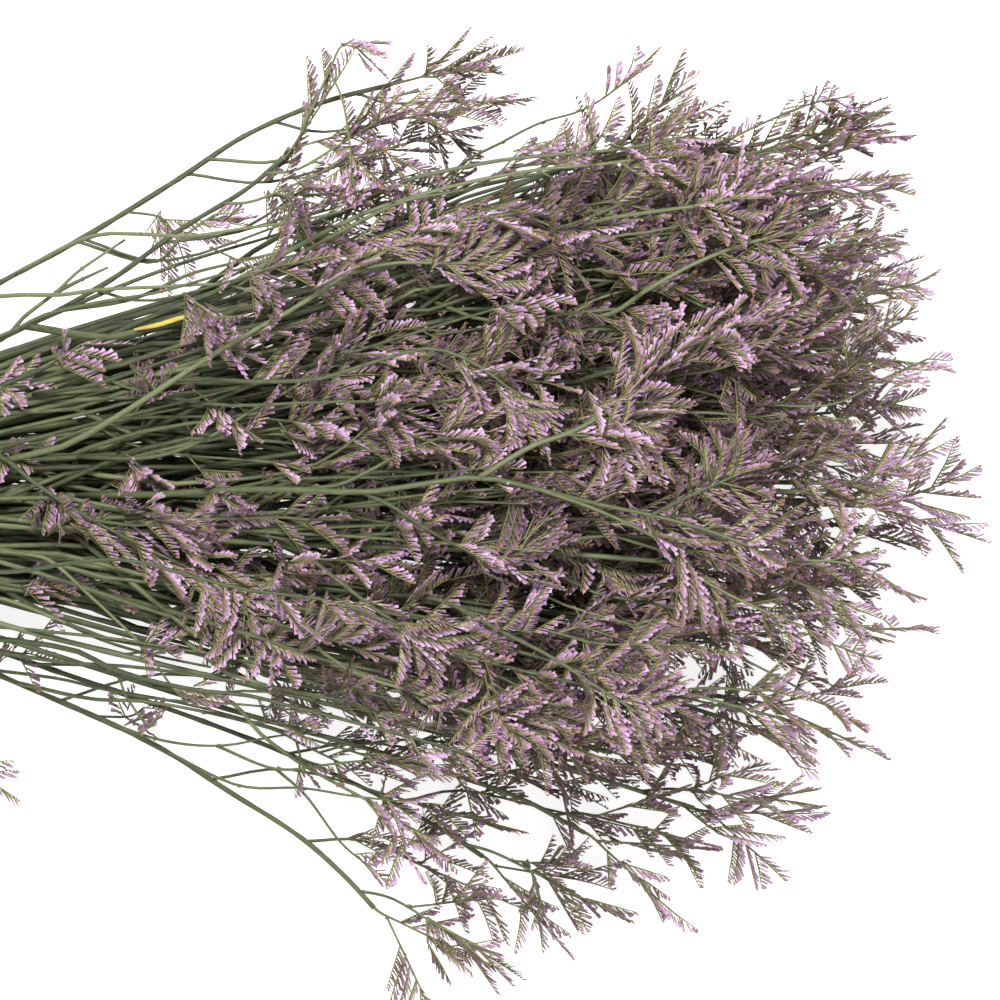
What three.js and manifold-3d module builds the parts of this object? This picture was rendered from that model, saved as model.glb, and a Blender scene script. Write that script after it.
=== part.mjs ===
// A bunch of dried statice lying on its side: cut, branched flowering stems, gathered by an elastic
// band near their cut ends and fanning out into a wide, blunt head of one-sided flower spikes.
//
// Units are millimetres. The stems run along +X, the fan spreads along Y, and the bunch lies on Z = 0.
// Design coordinates have their origin under the middle of the band. At the end the whole group is
// moved so that the origin lies under the middle of the bunch.
import * as THREE from 'three';
import { mergeVertices } from 'three/addons/utils/BufferGeometryUtils.js';
import Module from 'manifold-3d';

const wasm = await Module();
wasm.setup();
const { Manifold } = wasm;

const degrees = Math.PI / 180;
const vec = (x, y, z) => new THREE.Vector3(x, y, z);

// ---------------------------------------------------------------- driving dimensions

const CUT_END_X = -108; // the cut ends, measured from the band
const CUT_END_FLARE = 1.22; // the cut ends stand wider apart than the stems do in the band
const CUT_END_LIFT = 1.6;
const HEAD_X = 400; // the plane where the stems of the head stand apart
const HEAD_TIP_X = 451; // where the longest stems of the rule end, spikes not counted
const HEAD_MIDDLE_Y = 24;
const HEAD_MIDDLE_Z = 66;
const DOME_ACROSS = 0.0009; // how fast the blunt end of the head falls back, per square millimetre
const DOME_UP = 0.005;
const STRAGGLE = 62; // how much further a few stems run than the others
const STRAGGLERS_AT = [-8, 26]; // where they stand across the head
const FAN_POWER = 0.85; // under 1, the fan opens early and then runs straighter
const FAN_AFTER_HEAD = 0.45; // share of the fan's slope that is left past the head's plane

// The stems of the head at HEAD_X, a row for each layer: height, first y, last y, number of stems.
const HEAD_ROWS = [
  { z: 0.7, from: -76, to: 108, stems: 5 },
  { z: 28, from: -81, to: 123, stems: 6 },
  { z: 55, from: -82, to: 136, stems: 6 },
  { z: 80, from: -74, to: 132, stems: 5 },
  { z: 104, from: -56, to: 124, stems: 4 },
  { z: 121, from: -26, to: 92, stems: 3 },
];
const LOWEST_SINKS = 2.5; // how much sooner than the fan opens the lowest layer comes down to its height
const LOW_TIPS_LIFT = 7; // and how far its stems rise from the surface again at their tips
const ROW_JITTER = 5;
const SHORT_STEMS = 0.42; // share of the stems that end well inside the head
const SHORTENED_BY = [55, 130];
const STEM_BENDS_AT = [0.16, 0.36, 0.57, 0.78, 1]; // shares of the way from the band to the tip
const STEM_WAVER = 2.2; // how far the bends stray from an even run, in the head

// The outer stems that stray from the head: the points where they bend, the side that their branches
// grow to, as an angle round the stem from +Y towards +Z, and how far along them the first branch is.
const OUTER_STEMS = [
  { points: [[132, 88, 50], [164, 105, 60], [202, 128, 70], [232, 147, 78], [264, 160, 84],
    [288, 166, 88]], inner: 180, from: 0.5 },
  { points: [[132, 65, 58], [176, 88, 80], [204, 108, 90], [232, 125, 98], [245, 136, 102]],
    inner: 180, from: 0.55 },
  { points: [[132, 46, 70], [200, 76, 96], [280, 104, 110], [330, 122, 112], [372, 138, 112]],
    inner: 190, from: 0.55 },
  { points: [[132, -72, 9], [192, -99, 8], [224, -119, 8], [252, -137, 8], [270, -153, 8],
    [281, -165, 8]], inner: 20, from: 0.42 },
  { points: [[132, -62, 18], [222, -93, 22], [270, -113, 22], [310, -134, 20], [325, -144, 18]],
    inner: 15, from: 0.5 },
  { points: [[132, -56, 32], [222, -84, 46], [292, -104, 50], [340, -120, 46], [366, -134, 40]],
    inner: 5, from: 0.55 },
  { points: [[132, -50, 54], [192, -65, 66], [256, -80, 70], [320, -97, 62], [372, -112, 52],
    [410, -124, 44]], inner: 0, from: 0.55 },
];
const OUTER_BRANCH_SPREAD = 34;

const STEM_SIDES = 5;
const STEM_RADIUS = 1.45; // at the cut end
const STEM_TIP_RADIUS = 1.05;
const SLOT_PITCH = 3.3; // between the stems inside the band

const BRANCHES = 4; // side branches to a stem, beside the shoot at its own end
const BRANCH_STARTS = [0.34, 0.62]; // how far along the stem the first one may leave it
const LAST_BRANCH = 0.93;
const BRANCH_LENGTHS = [100, 34]; // the lowest and the highest one
const BRANCH_LEAVES_AT = [34, 46]; // degrees between the stem and a branch at its root
const BRANCH_ENDS_AT = [12, 24]; // and at its end
const BRANCH_BEND = 0.42; // where along it the branch bends forwards
const STALK_HALF = 0.75; // half the width and thickness of a branch
const ROOT_HALF = 0.48; // and at its root, inside the stem
const TOP_LENGTH = 14;
const TOP_ENDS_AT = -16;
const TOP_LEAN = 0.6; // how much more a stem's own shoot leans at each attempt, in degrees
const FORK_ANGLE = 40; // degrees between a branch's own spike and the one beside it
const FORK_FROM = 0.3; // where on a branch's last stretch the fork is
const FORK_STALK = [8, 14];
const GOLDEN_TURN = 137.5 * degrees; // from one branch to the next, round the stem

const SPIKE_LENGTHS = [40, 50];
const SPIKE_DEPTH = 11.5; // from the middle of the stalk to the mouths of the longest florets
const SPIKE_HALF = 2.0; // half the thickness where the florets meet
const FLORET_HALF = 0.7; // and at their mouths
const FLORETS = [0.82, 1, 0.86]; // each floret's share of the depth, on a branch's own spike
const FEWER_FLORETS = [0.84, 0.92]; // and on the shorter one beside it
const BESIDE_LENGTH = 0.84;

const CLEARANCE = 0.5; // between two stems' parts
const LEAST_LIFT = 0.7; // least height of a part over the surface, as a share of its radius
const SHOOT_STALKS = 3; // how many of a shoot's capsules are its stalks
const TRIES = 32;
const SHRINK = 0.7; // a branch that finds no room is tried again at this share of its length
const SHRINKS = 3;

const BAND_TURNS = 3;
const BAND_WIDTH = 2.2; // of one turn
const BAND_THICKNESS = 1.5;
const BAND_GROOVE = 0.4;
const BAND_GAP = 0.4;
const BAND_SIDES = 18;

// Where the flowers may reach, as y or z against x: the outline of the head from above and its top.
const UPPER_EDGE = [[100, 40], [170, 76], [250, 112], [324, 142], [380, 160], [412, 166], [480, 166],
  [500, 150], [514, 108], [526, 60], [542, 0]];
const LOWER_EDGE = [[100, -36], [170, -66], [252, -88], [312, -98], [372, -116], [412, -122],
  [460, -124], [486, -112], [514, -72], [542, -6]];
const TOP_EDGE = [[60, 42], [150, 92], [250, 136], [350, 162], [480, 162], [542, 116]];

// ---------------------------------------------------------------- numbers drawn by rule

const SEED = 20571;

// A number from 0 to 1 that depends only on its keys, so that no draw shifts another.
function draw(...keys) {
  let h = SEED;
  for (const key of keys) {
    h = Math.imul(h ^ (key + 0x9e3779b9), 0x85ebca6b);
    h ^= h >>> 13;
    h = Math.imul(h, 0xc2b2ae35);
    h ^= h >>> 16;
  }
  return (h >>> 0) / 4294967296;
}

const between = ([low, high], share) => low + (high - low) * share;

// The value at x of the polyline through [x, value] pairs, level past its ends.
function along(edge, x) {
  if (x <= edge[0][0]) return edge[0][1];
  for (let i = 1; i < edge.length; i++) {
    const [x0, v0] = edge[i - 1];
    const [x1, v1] = edge[i];
    if (x <= x1) return v0 + (v1 - v0) * (x - x0) / (x1 - x0);
  }
  return edge[edge.length - 1][1];
}

// ---------------------------------------------------------------- where the stems run

// The first places of a close hexagonal packing round [0, 0], nearest first.
function packedSlots(count) {
  const slots = [];
  const reach = Math.ceil(Math.sqrt(count)) + 1;
  for (let row = -reach; row <= reach; row++) {
    for (let column = -reach; column <= reach; column++) {
      const y = (column + (row % 2 ? 0.5 : 0)) * SLOT_PITCH;
      const z = row * SLOT_PITCH * Math.sqrt(3) / 2;
      slots.push([y, z]);
    }
  }
  const rank = ([y, z]) => y * y + z * z + 1e-4 * y + 1e-5 * z;
  return slots.sort((a, b) => rank(a) - rank(b)).slice(0, count);
}

const rowStems = HEAD_ROWS.reduce((sum, row) => sum + row.stems, 0);
const slots = packedSlots(rowStems + OUTER_STEMS.length);
const bundleRadius = Math.max(...slots.map(slot => Math.hypot(...slot))) + STEM_RADIUS;
const bandInner = bundleRadius + BAND_GAP;
const bandHalf = BAND_TURNS * BAND_WIDTH / 2;
const bandMiddleZ = (bandInner + BAND_THICKNESS) * Math.cos(Math.PI / BAND_SIDES);

// How much of the fan has opened at x: 0 in the band, 1 in the head's plane.
function fanAt(x) {
  const share = (x - bandHalf) / (HEAD_X - bandHalf);
  return share <= 1 ? share ** FAN_POWER : 1 + (share - 1) * FAN_POWER * FAN_AFTER_HEAD;
}

// Where each stem stands in the head's plane. An outer stem's place there is the one that its first
// point lies on the way to.
function headTargets() {
  const targets = [];
  HEAD_ROWS.forEach((row, r) => {
    for (let k = 0; k < row.stems; k++) {
      const share = k / (row.stems - 1);
      const y = between([row.from, row.to], share) + (draw(r, k, 1) - 0.5) * 2 * ROW_JITTER;
      const z = row.z + (r ? (draw(r, k, 2) - 0.5) * ROW_JITTER : 0);
      const dome = DOME_ACROSS * (y - HEAD_MIDDLE_Y) ** 2 + DOME_UP * (z - HEAD_MIDDLE_Z) ** 2;
      const isShort = draw(r, k, 3) < SHORT_STEMS;
      const shorter = isShort ? between(SHORTENED_BY, draw(r, k, 4)) : 0;
      const isLong = !isShort && y > STRAGGLERS_AT[0] && y < STRAGGLERS_AT[1];
      const longer = isLong ? STRAGGLE * draw(r, k, 5) : 0;
      targets.push({ y, z, tipX: HEAD_TIP_X - dome - shorter + longer, isLowest: r === 0 });
    }
  });
  for (const outer of OUTER_STEMS) {
    const [x, y, z] = outer.points[0];
    const fan = fanAt(x);
    targets.push({ y: y / fan, z: bandMiddleZ + (z - bandMiddleZ) / fan, ...outer });
  }
  return targets;
}

// Gives each stem the slot in the band that lies on its side of the bunch. Two stems trade slots for as
// long as that brings both nearer their sides, and stems that hold such slots never cross.
function slotsFor(targets) {
  const held = [...slots];
  const spread = (i, j) => (held[i][0] - held[j][0]) * (targets[i].y - targets[j].y)
    + (held[i][1] - held[j][1]) * (targets[i].z - targets[j].z);
  let traded = true;
  while (traded) {
    traded = false;
    for (let i = 0; i < held.length; i++) {
      for (let j = i + 1; j < held.length; j++) {
        if (spread(i, j) >= -1e-9) continue;
        [held[i], held[j]] = [held[j], held[i]];
        traded = true;
      }
    }
  }
  return held;
}

function stemPoints(target, [slotY, slotZ], i) {
  const flaredZ = bandMiddleZ + CUT_END_LIFT + slotZ * CUT_END_FLARE;
  const cutEnd = vec(CUT_END_X, slotY * CUT_END_FLARE, flaredZ);
  const leavesBand = vec(bandHalf, slotY, bandMiddleZ + slotZ);
  if (target.points) {
    const bends = target.points.map(p => vec(...p));
    const share = fanAt(bends[0].x / 2) / fanAt(bends[0].x);
    const opening = leavesBand.clone().lerp(bends[0], share).setX(bends[0].x / 2);
    return [cutEnd, leavesBand, opening, ...bends];
  }
  const bends = STEM_BENDS_AT.map((share, k) => {
    const x = between([bandHalf, target.tipX], share);
    const fan = fanAt(x);
    const waver = STEM_WAVER * fan * (k % 2 ? 1 : -1) * (0.4 + 0.6 * draw(i, k, 7));
    const sunk = target.isLowest ? Math.min(1, fan * LOWEST_SINKS) : fan;
    const lift = target.isLowest && share === 1 ? LOW_TIPS_LIFT : 0;
    const height = leavesBand.z + (target.z - leavesBand.z) * sunk + lift;
    return vec(x, slotY + (target.y - slotY) * fan + waver, height);
  });
  return [cutEnd, leavesBand, ...bends];
}

// A run of straight stretches, so that a stem swept along it bends at its points and nowhere else.
class StemPath extends THREE.Curve {
  constructor(points) {
    super();
    this.points = points;
  }

  getPoint(t, result = new THREE.Vector3()) {
    const place = t * (this.points.length - 1);
    const i = Math.min(Math.floor(place), this.points.length - 2);
    return result.lerpVectors(this.points[i], this.points[i + 1], place - i);
  }

  getUtoTmapping(u) {
    return u;
  }
}

const targets = headTargets();
const held = slotsFor(targets);
const stems = targets.map((target, i) => ({
  number: i,
  path: new StemPath(stemPoints(target, held[i], i)),
  from: target.from ?? between(BRANCH_STARTS, Math.sqrt(draw(i, 11))),
  inner: target.inner,
}));

const stemRadius = t => between([STEM_RADIUS, STEM_TIP_RADIUS], t);

// ---------------------------------------------------------------- room between the stems

// The least distance between the segments ab and cd.
function segmentDistance(a, b, c, d) {
  const u = b.clone().sub(a);
  const v = d.clone().sub(c);
  const w = a.clone().sub(c);
  const uu = u.dot(u);
  const uv = u.dot(v);
  const vv = v.dot(v);
  const uw = u.dot(w);
  const vw = v.dot(w);
  const clamp = x => Math.min(1, Math.max(0, x));
  const spread = uu * vv - uv * uv;
  let s = spread > 1e-9 ? clamp((uv * vw - vv * uw) / spread) : 0;
  const t = clamp((uv * s + vw) / vv);
  s = clamp((uv * t - uw) / uu);
  return w.addScaledVector(u, s).addScaledVector(v, -t).length();
}

const filled = []; // capsules of what stands already: { owner, a, b, radius }

// Whether capsules of one stem's new shoot stand clear of all the others, and of its own.
function hasRoom(capsules) {
  return capsules.every((c, i) => filled.every(f => {
    const isOwn = f.owner === c.owner;
    if (isOwn && i < SHOOT_STALKS) return true;
    return segmentDistance(c.a, c.b, f.a, f.b) >= c.radius + f.radius + (isOwn ? 0 : CLEARANCE);
  }));
}

// Whether a capsule lies over the surface and inside the head's outline.
function insideHead({ a, b, radius }) {
  return [a, b].every(({ x, y, z }) => z >= radius * LEAST_LIFT && z <= along(TOP_EDGE, x)
    && y <= along(UPPER_EDGE, x) && y >= along(LOWER_EDGE, x));
}

// ---------------------------------------------------------------- forked shoots, in their plane

const way = angle => new THREE.Vector2(Math.cos(angle * degrees), Math.sin(angle * degrees));

// A branch with a spike at its end and one beside it. Its root is at the origin, x runs the way that
// the stem runs and y away from it. `side` is the side of a spike's stalk that its florets stand on.
function forkedShoot(length, leaves, ends, keys) {
  const bend = way(leaves).multiplyScalar(length * BRANCH_BEND);
  const end = bend.clone().addScaledVector(way(ends), length * (1 - BRANCH_BEND));
  const fork = bend.clone().lerp(end, FORK_FROM);
  const beside = ends + FORK_ANGLE;
  const forkEnd = fork.clone().addScaledVector(way(beside), between(FORK_STALK, draw(...keys, 24)));
  const spikeLength = between(SPIKE_LENGTHS, draw(...keys, 21));
  return {
    bend, fork, ends, beside,
    spikes: [
      { root: end, angle: ends, side: -1, length: spikeLength, florets: FLORETS },
      {
        root: forkEnd, angle: beside, side: 1, length: spikeLength * BESIDE_LENGTH, florets: FEWER_FLORETS,
      },
    ],
  };
}

// A point of a spike's plane, `a` along the spike and `s` to the side of its florets.
function onSpike({ root, angle, side }, a, s) {
  return root.clone().addScaledVector(way(angle), a).addScaledVector(way(angle + 90), s * side);
}

// The front of a spike from its root to its tip: florets that lean forwards, with notches between.
// Each point has half the thickness of the shoot there.
function floretEdge(spike) {
  const pitch = spike.length / (spike.florets.length + 1);
  const edge = [{ at: onSpike(spike, 0, STALK_HALF), half: STALK_HALF }];
  spike.florets.forEach((share, k) => {
    const reach = share * SPIKE_DEPTH;
    edge.push({ at: onSpike(spike, pitch * (k + 1.14), reach), half: FLORET_HALF });
    edge.push({ at: onSpike(spike, pitch * (k + 1.3), 0.42 * reach), half: SPIKE_HALF });
  });
  edge.push({ at: onSpike(spike, spike.length, 0.1 * SPIKE_DEPTH), half: FLORET_HALF });
  return edge;
}

// The whole outline of a forked shoot, with the half thickness at each point.
function shootOutline({ bend, fork, ends, beside, spikes: [own, other] }) {
  const leaves = bend.angle() / degrees;
  const off = (point, angle, s) => point.clone().addScaledVector(way(angle + 90), s);
  const middle = (ends + beside) / 2;
  const crotch = fork.clone().addScaledVector(way(middle), STALK_HALF / Math.sin(FORK_ANGLE / 2 * degrees));
  const stalk = at => ({ at, half: STALK_HALF });
  const root = new THREE.Vector2();
  return [
    { at: off(root, leaves, -ROOT_HALF), half: ROOT_HALF },
    stalk(off(bend, (leaves + ends) / 2, -STALK_HALF)),
    ...floretEdge(own),
    stalk(crotch),
    ...floretEdge(other).reverse(),
    stalk(off(bend, (leaves + ends) / 2, STALK_HALF)),
    { at: off(root, leaves, ROOT_HALF), half: ROOT_HALF },
  ];
}

// Capsules that hold a forked shoot in its plane: its stalks, and two for each spike.
function shootCapsules({ bend, fork, spikes }) {
  const line = (a, b, radius) => ({ a: vec(a.x, a.y, 0), b: vec(b.x, b.y, 0), radius });
  const stalks = [
    line(new THREE.Vector2(), bend, STALK_HALF * 1.4),
    line(bend, spikes[0].root, STALK_HALF * 1.4),
    line(fork, spikes[1].root, STALK_HALF * 1.4),
  ];
  return stalks.concat(spikes.flatMap(spike => [
    line(onSpike(spike, 0, 1), onSpike(spike, spike.length, 1), SPIKE_HALF),
    line(onSpike(spike, spike.length * 0.2, SPIKE_DEPTH * 0.62),
      onSpike(spike, spike.length * 0.76, SPIKE_DEPTH * 0.62), SPIKE_DEPTH * 0.38),
  ]));
}

// ---------------------------------------------------------------- where the shoots stand

// The frame of a shoot that leaves a stem at `root` on the side `round`, an angle from +Y towards +Z.
function shootFrame(root, forwards, round) {
  const level = vec(0, 0, 1).cross(forwards).normalize();
  const upright = forwards.clone().cross(level);
  const outwards = level.multiplyScalar(Math.cos(round)).addScaledVector(upright, Math.sin(round));
  return new THREE.Matrix4()
    .makeBasis(forwards, outwards, forwards.clone().cross(outwards))
    .setPosition(root);
}

// One side branch. `attempt` turns it round the stem in search of room.
function branchShoot(stem, k, attempt, shrink) {
  const share = k / (BRANCHES - 1);
  const keys = [stem.number, k];
  const t = between([stem.from, LAST_BRANCH], share);
  const swing = (attempt % 2 ? 1 : -1) * Math.ceil(attempt / 2) / TRIES * 2 * Math.PI;
  const round = stem.inner === undefined
    ? draw(stem.number, 12) * 2 * Math.PI + k * GOLDEN_TURN + swing
    : (stem.inner + (k % 2 ? 1 : -1) * OUTER_BRANCH_SPREAD * draw(...keys, 13)) * degrees + swing / 2;
  const length = between(BRANCH_LENGTHS, share) * (0.85 + 0.3 * draw(...keys, 14)) * SHRINK ** shrink;
  const leaves = between(BRANCH_LEAVES_AT, draw(...keys, 15));
  const ends = between(BRANCH_ENDS_AT, draw(...keys, 16));
  const frame = shootFrame(stem.path.getPoint(t), stem.path.getTangent(t), round);
  return { frame, shoot: forkedShoot(length, leaves, ends, keys) };
}

// The stem's own end: a forked shoot that runs on out of it, and that leans a little more at each
// attempt.
function topShoot(stem, k, attempt) {
  const ahead = stem.path.getTangent(1);
  const root = stem.path.getPoint(1).addScaledVector(ahead, -2.5);
  const lean = attempt * TOP_LEAN * degrees;
  const towards = shootFrame(root, ahead, draw(stem.number, 91, attempt) * 2 * Math.PI);
  const forwards = vec(Math.cos(lean), Math.sin(lean), 0).transformDirection(towards);
  const frame = shootFrame(root, forwards, draw(stem.number, 90, attempt) * 2 * Math.PI);
  return { frame, shoot: forkedShoot(TOP_LENGTH, 0, TOP_ENDS_AT, [stem.number, 90]) };
}

// Adds to a stem the first of the shoots that a rule draws which stands free of all the others.
function grow(stem, k, rule, shrinks) {
  for (let shrink = 0; shrink < shrinks; shrink++) {
    for (let attempt = 0; attempt < TRIES; attempt++) {
      const placed = rule(stem, k, attempt, shrink);
      const capsules = shootCapsules(placed.shoot).map(({ a, b, radius }) => ({
        owner: stem.number, a: a.applyMatrix4(placed.frame), b: b.applyMatrix4(placed.frame), radius,
      }));
      const inside = stem.inner === undefined
        ? capsules.every(insideHead)
        : capsules.every(c => Math.min(c.a.z, c.b.z) >= c.radius * LEAST_LIFT);
      if (!inside || !hasRoom(capsules)) continue;
      filled.push(...capsules);
      stem.shoots.push(placed);
      return;
    }
  }
}

function growAll() {
  for (const stem of stems) {
    const { points } = stem.path;
    for (let i = 0; i < points.length - 1; i++) {
      const radius = stemRadius(i / (points.length - 1));
      filled.push({ owner: stem.number, a: points[i], b: points[i + 1], radius });
    }
    stem.shoots = [];
  }
  for (const stem of stems) grow(stem, BRANCHES, topShoot, 1);
  for (let k = 0; k < BRANCHES; k++) {
    for (const stem of stems) grow(stem, k, branchShoot, SHRINKS);
  }
}

// ---------------------------------------------------------------- solids

// The closed solid of a geometry, its vertices moved by `move`, which changes a point in place.
function solidFrom(geometry, move = () => {}) {
  const closed = mergeVertices(geometry.deleteAttribute('normal').deleteAttribute('uv'));
  const { position } = closed.attributes;
  const point = new THREE.Vector3();
  for (let i = 0; i < position.count; i++) {
    move(point.fromBufferAttribute(position, i));
    position.setXYZ(i, ...point);
  }
  return new Manifold(new wasm.Mesh({
    numProp: 3,
    vertProperties: position.array,
    triVerts: new Uint32Array(closed.index.array),
  }));
}

const nearest = (items, distance) => items.reduce((a, b) => (distance(b) < distance(a) ? b : a));

// A stem swept along its path and then drawn in towards its tip.
function stemSolid({ path }) {
  const { points } = path;
  const corners = Array.from({ length: STEM_SIDES },
    (_, k) => way(360 / STEM_SIDES * k).multiplyScalar(STEM_RADIUS));
  const steps = points.length - 1;
  const swept = new THREE.ExtrudeGeometry(new THREE.Shape(corners), { extrudePath: path, steps });
  return solidFrom(swept, p => {
    const middle = nearest(points, q => q.distanceToSquared(p));
    const share = points.indexOf(middle) / steps;
    p.sub(middle).multiplyScalar(stemRadius(share) / STEM_RADIUS).add(middle);
  });
}

// A forked shoot, cut from its outline as a plate that is thickest where the florets meet.
function shootSolid({ frame, shoot }) {
  const outline = shootOutline(shoot);
  const shape = new THREE.Shape(outline.map(({ at }) => at));
  const plate = new THREE.ExtrudeGeometry(shape, { depth: 2, bevelEnabled: false }).translate(0, 0, -1);
  return solidFrom(plate, p => {
    const { half } = nearest(outline, ({ at }) => (at.x - p.x) ** 2 + (at.y - p.y) ** 2);
    p.z *= half;
    p.applyMatrix4(frame);
  });
}

const underSurface = solidFrom(new THREE.BoxGeometry(2000, 2000, 100).translate(0, 0, -50));

// A stem with its shoots as one body. What would reach under the surface is pressed flat on it, and
// what that cut leaves loose is dropped.
function flowerStem(stem) {
  const whole = Manifold.union([stemSolid(stem), ...stem.shoots.map(shootSolid)]);
  const bodies = whole.subtract(underSurface).decompose();
  return bodies.reduce((most, body) => (body.volume() > most.volume() ? body : most));
}

function geometryOf(solid) {
  const mesh = solid.getMesh();
  const geometry = new THREE.BufferGeometry();
  geometry.setAttribute('position', new THREE.BufferAttribute(mesh.vertProperties, 3));
  geometry.setIndex(new THREE.BufferAttribute(mesh.triVerts, 1));
  geometry.computeVertexNormals();
  return geometry;
}

// ---------------------------------------------------------------- the band

// An elastic band in turns that lie side by side: a ring whose outside has a ridge for each turn. One of
// its flats lies on the surface.
function bandGeometry() {
  const outer = bandInner + BAND_THICKNESS;
  const groove = outer - BAND_GROOVE;
  const profile = [[bandInner, -bandHalf]];
  for (let turn = 0; turn < BAND_TURNS; turn++) {
    const start = -bandHalf + turn * BAND_WIDTH;
    profile.push([groove, start], [outer, start + BAND_GROOVE], [outer, start + BAND_WIDTH - BAND_GROOVE]);
  }
  profile.push([groove, bandHalf], [bandInner, bandHalf], [bandInner, -bandHalf]);
  const ring = new THREE.LatheGeometry(profile.map(p => new THREE.Vector2(...p)), BAND_SIDES);
  ring.rotateY(Math.PI / BAND_SIDES); // a flat, and not a corner, points down
  ring.rotateZ(-90 * degrees);
  return ring.translate(0, 0, bandMiddleZ);
}

// ---------------------------------------------------------------- assembly

const STATICE = new THREE.MeshStandardMaterial({ name: 'statice', color: 0x86708a, roughness: 0.85 });
const RUBBER = new THREE.MeshStandardMaterial({ name: 'band', color: 0xb08a5c, roughness: 0.6 });

growAll();

const bunch = new THREE.Group();
for (const stem of stems) {
  const mesh = new THREE.Mesh(geometryOf(flowerStem(stem)), STATICE);
  mesh.name = `stem_${String(stem.number + 1).padStart(2, '0')}`;
  bunch.add(mesh);
}
const band = new THREE.Mesh(bandGeometry(), RUBBER);
band.name = 'band';
bunch.add(band);

const extent = new THREE.Box3().setFromObject(bunch);
bunch.position.set(-(extent.min.x + extent.max.x) / 2, -(extent.min.y + extent.max.y) / 2, 0);

export default bunch;
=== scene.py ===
"""A bunch of dried statice lying on its side.

Cut, branched stems are gathered by an elastic band near their cut ends. They fan out along +X into a
wide, blunt head of one-sided flower spikes. Lengths are in millimetres, measured from under the middle
of the band, until a mesh is made.
"""
import logging
import math
from collections.abc import Callable, Sequence
from dataclasses import dataclass, field, fields
from enum import Enum

import bpy
import numpy as np
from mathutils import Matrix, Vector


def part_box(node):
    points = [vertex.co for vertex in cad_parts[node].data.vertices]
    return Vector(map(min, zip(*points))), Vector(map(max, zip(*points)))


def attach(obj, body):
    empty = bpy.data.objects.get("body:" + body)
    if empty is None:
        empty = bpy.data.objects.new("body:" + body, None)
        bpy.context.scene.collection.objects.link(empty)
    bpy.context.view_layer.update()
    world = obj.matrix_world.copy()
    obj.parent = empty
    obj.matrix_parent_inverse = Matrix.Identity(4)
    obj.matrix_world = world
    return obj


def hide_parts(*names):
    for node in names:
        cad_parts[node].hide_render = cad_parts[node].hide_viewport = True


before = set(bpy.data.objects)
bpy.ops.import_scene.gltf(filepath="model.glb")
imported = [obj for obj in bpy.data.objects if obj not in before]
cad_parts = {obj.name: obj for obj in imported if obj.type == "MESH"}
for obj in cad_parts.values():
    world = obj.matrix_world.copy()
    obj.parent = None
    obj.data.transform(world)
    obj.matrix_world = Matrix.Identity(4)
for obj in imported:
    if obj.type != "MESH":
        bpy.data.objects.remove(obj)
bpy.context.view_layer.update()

log = logging.getLogger("statice")
Array = np.ndarray
Pair = tuple[float, float]

UP = np.array([0.0, 0.0, 1.0])
SEED = 20571


# ---- small rules


def draw(*keys: int) -> float:
    """A number from 0 to 1 that depends only on its keys: each key is mixed into 32 bits by a
    multiplication and a folded shift, twice.

    Args:
        keys: whole numbers that name the draw.

    Returns:
        The same number for the same keys.
    """
    bits = SEED
    for key in keys:
        bits = (bits ^ (key + 0x9E3779B9)) * 0x85EBCA6B & 0xFFFFFFFF
        bits ^= bits >> 13
        bits = bits * 0xC2B2AE35 & 0xFFFFFFFF
        bits ^= bits >> 16
    return bits / 4294967296


def between(ends: Pair, share: float | Array) -> float | Array:
    """The value at a share of the way from the first end to the second."""
    return ends[0] + (ends[1] - ends[0]) * share


def unit(vectors: Array) -> Array:
    """The vectors at length one, along the last axis."""
    return vectors / np.maximum(np.linalg.norm(vectors, axis=-1, keepdims=True), 1e-9)


def squared_off(vectors: Array, axes: Array) -> Array:
    """The vectors without their part along the axes, at length one."""
    return unit(vectors - (vectors * axes).sum(-1, keepdims=True) * axes)


def along(edge: Sequence[Pair], x: float | Array) -> float | Array:
    """The height at x of the open line through (x, height) pairs, level past its ends."""
    return np.interp(x, *np.transpose(edge))


def smooth_slopes(steps: Array, rises: Array) -> Array:
    """Slopes at the points of a run that never overshoots: the harmonic mean of the slopes on both
    sides where they agree in sign, and nothing where they don't.

    Args:
        steps: (n - 1,) distances from each point to the next.
        rises: (n - 1, k) rises over those steps.

    Returns:
        (n, k) slopes.
    """
    slopes = rises / steps[:, None]
    before, after = slopes[:-1], slopes[1:]
    agree = before * after > 0
    total = np.where(agree, before + after, 1.0)
    middle = np.where(agree, 2 * before * after / total, 0.0)
    return np.concatenate([slopes[:1], middle, slopes[-1:]])


def cubic(s: Array, ends: tuple[Array, Array], slopes: tuple[Array, Array]) -> Array:
    """Cubic pieces with a set slope at both ends: the first end times 2 s cubed - 3 s squared + 1, its
    slope times s cubed - 2 s squared + s, the second end times 3 s squared - 2 s cubed, and its slope
    times s cubed - s squared.

    Args:
        s: shares of the way from the first end to the second.
        ends: the values at both ends.
        slopes: the slopes there, for s from 0 to 1.

    Returns:
        The values at the shares.
    """
    return ((2 * s**3 - 3 * s**2 + 1) * ends[0] + (s**3 - 2 * s**2 + s) * slopes[0]
            + (3 * s**2 - 2 * s**3) * ends[1] + (s**3 - s**2) * slopes[1])


def bent(points: Array, count: int) -> Array:
    """A smooth run of `count` points through a few points: cubic pieces whose slope at a point is half
    the way from the point before to the one after.

    Args:
        points: (n, 3) points that the run passes.
        count: how many points to return, evenly spaced in the run's parameter.

    Returns:
        (count, 3) points.
    """
    slopes = np.gradient(points, axis=0)
    place = np.linspace(0, len(points) - 1, count)
    i = np.minimum(place.astype(int), len(points) - 2)
    s = (place - i)[:, None]
    return cubic(s, (points[i], points[i + 1]), (slopes[i], slopes[i + 1]))


# ---- the stems' routes


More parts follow.
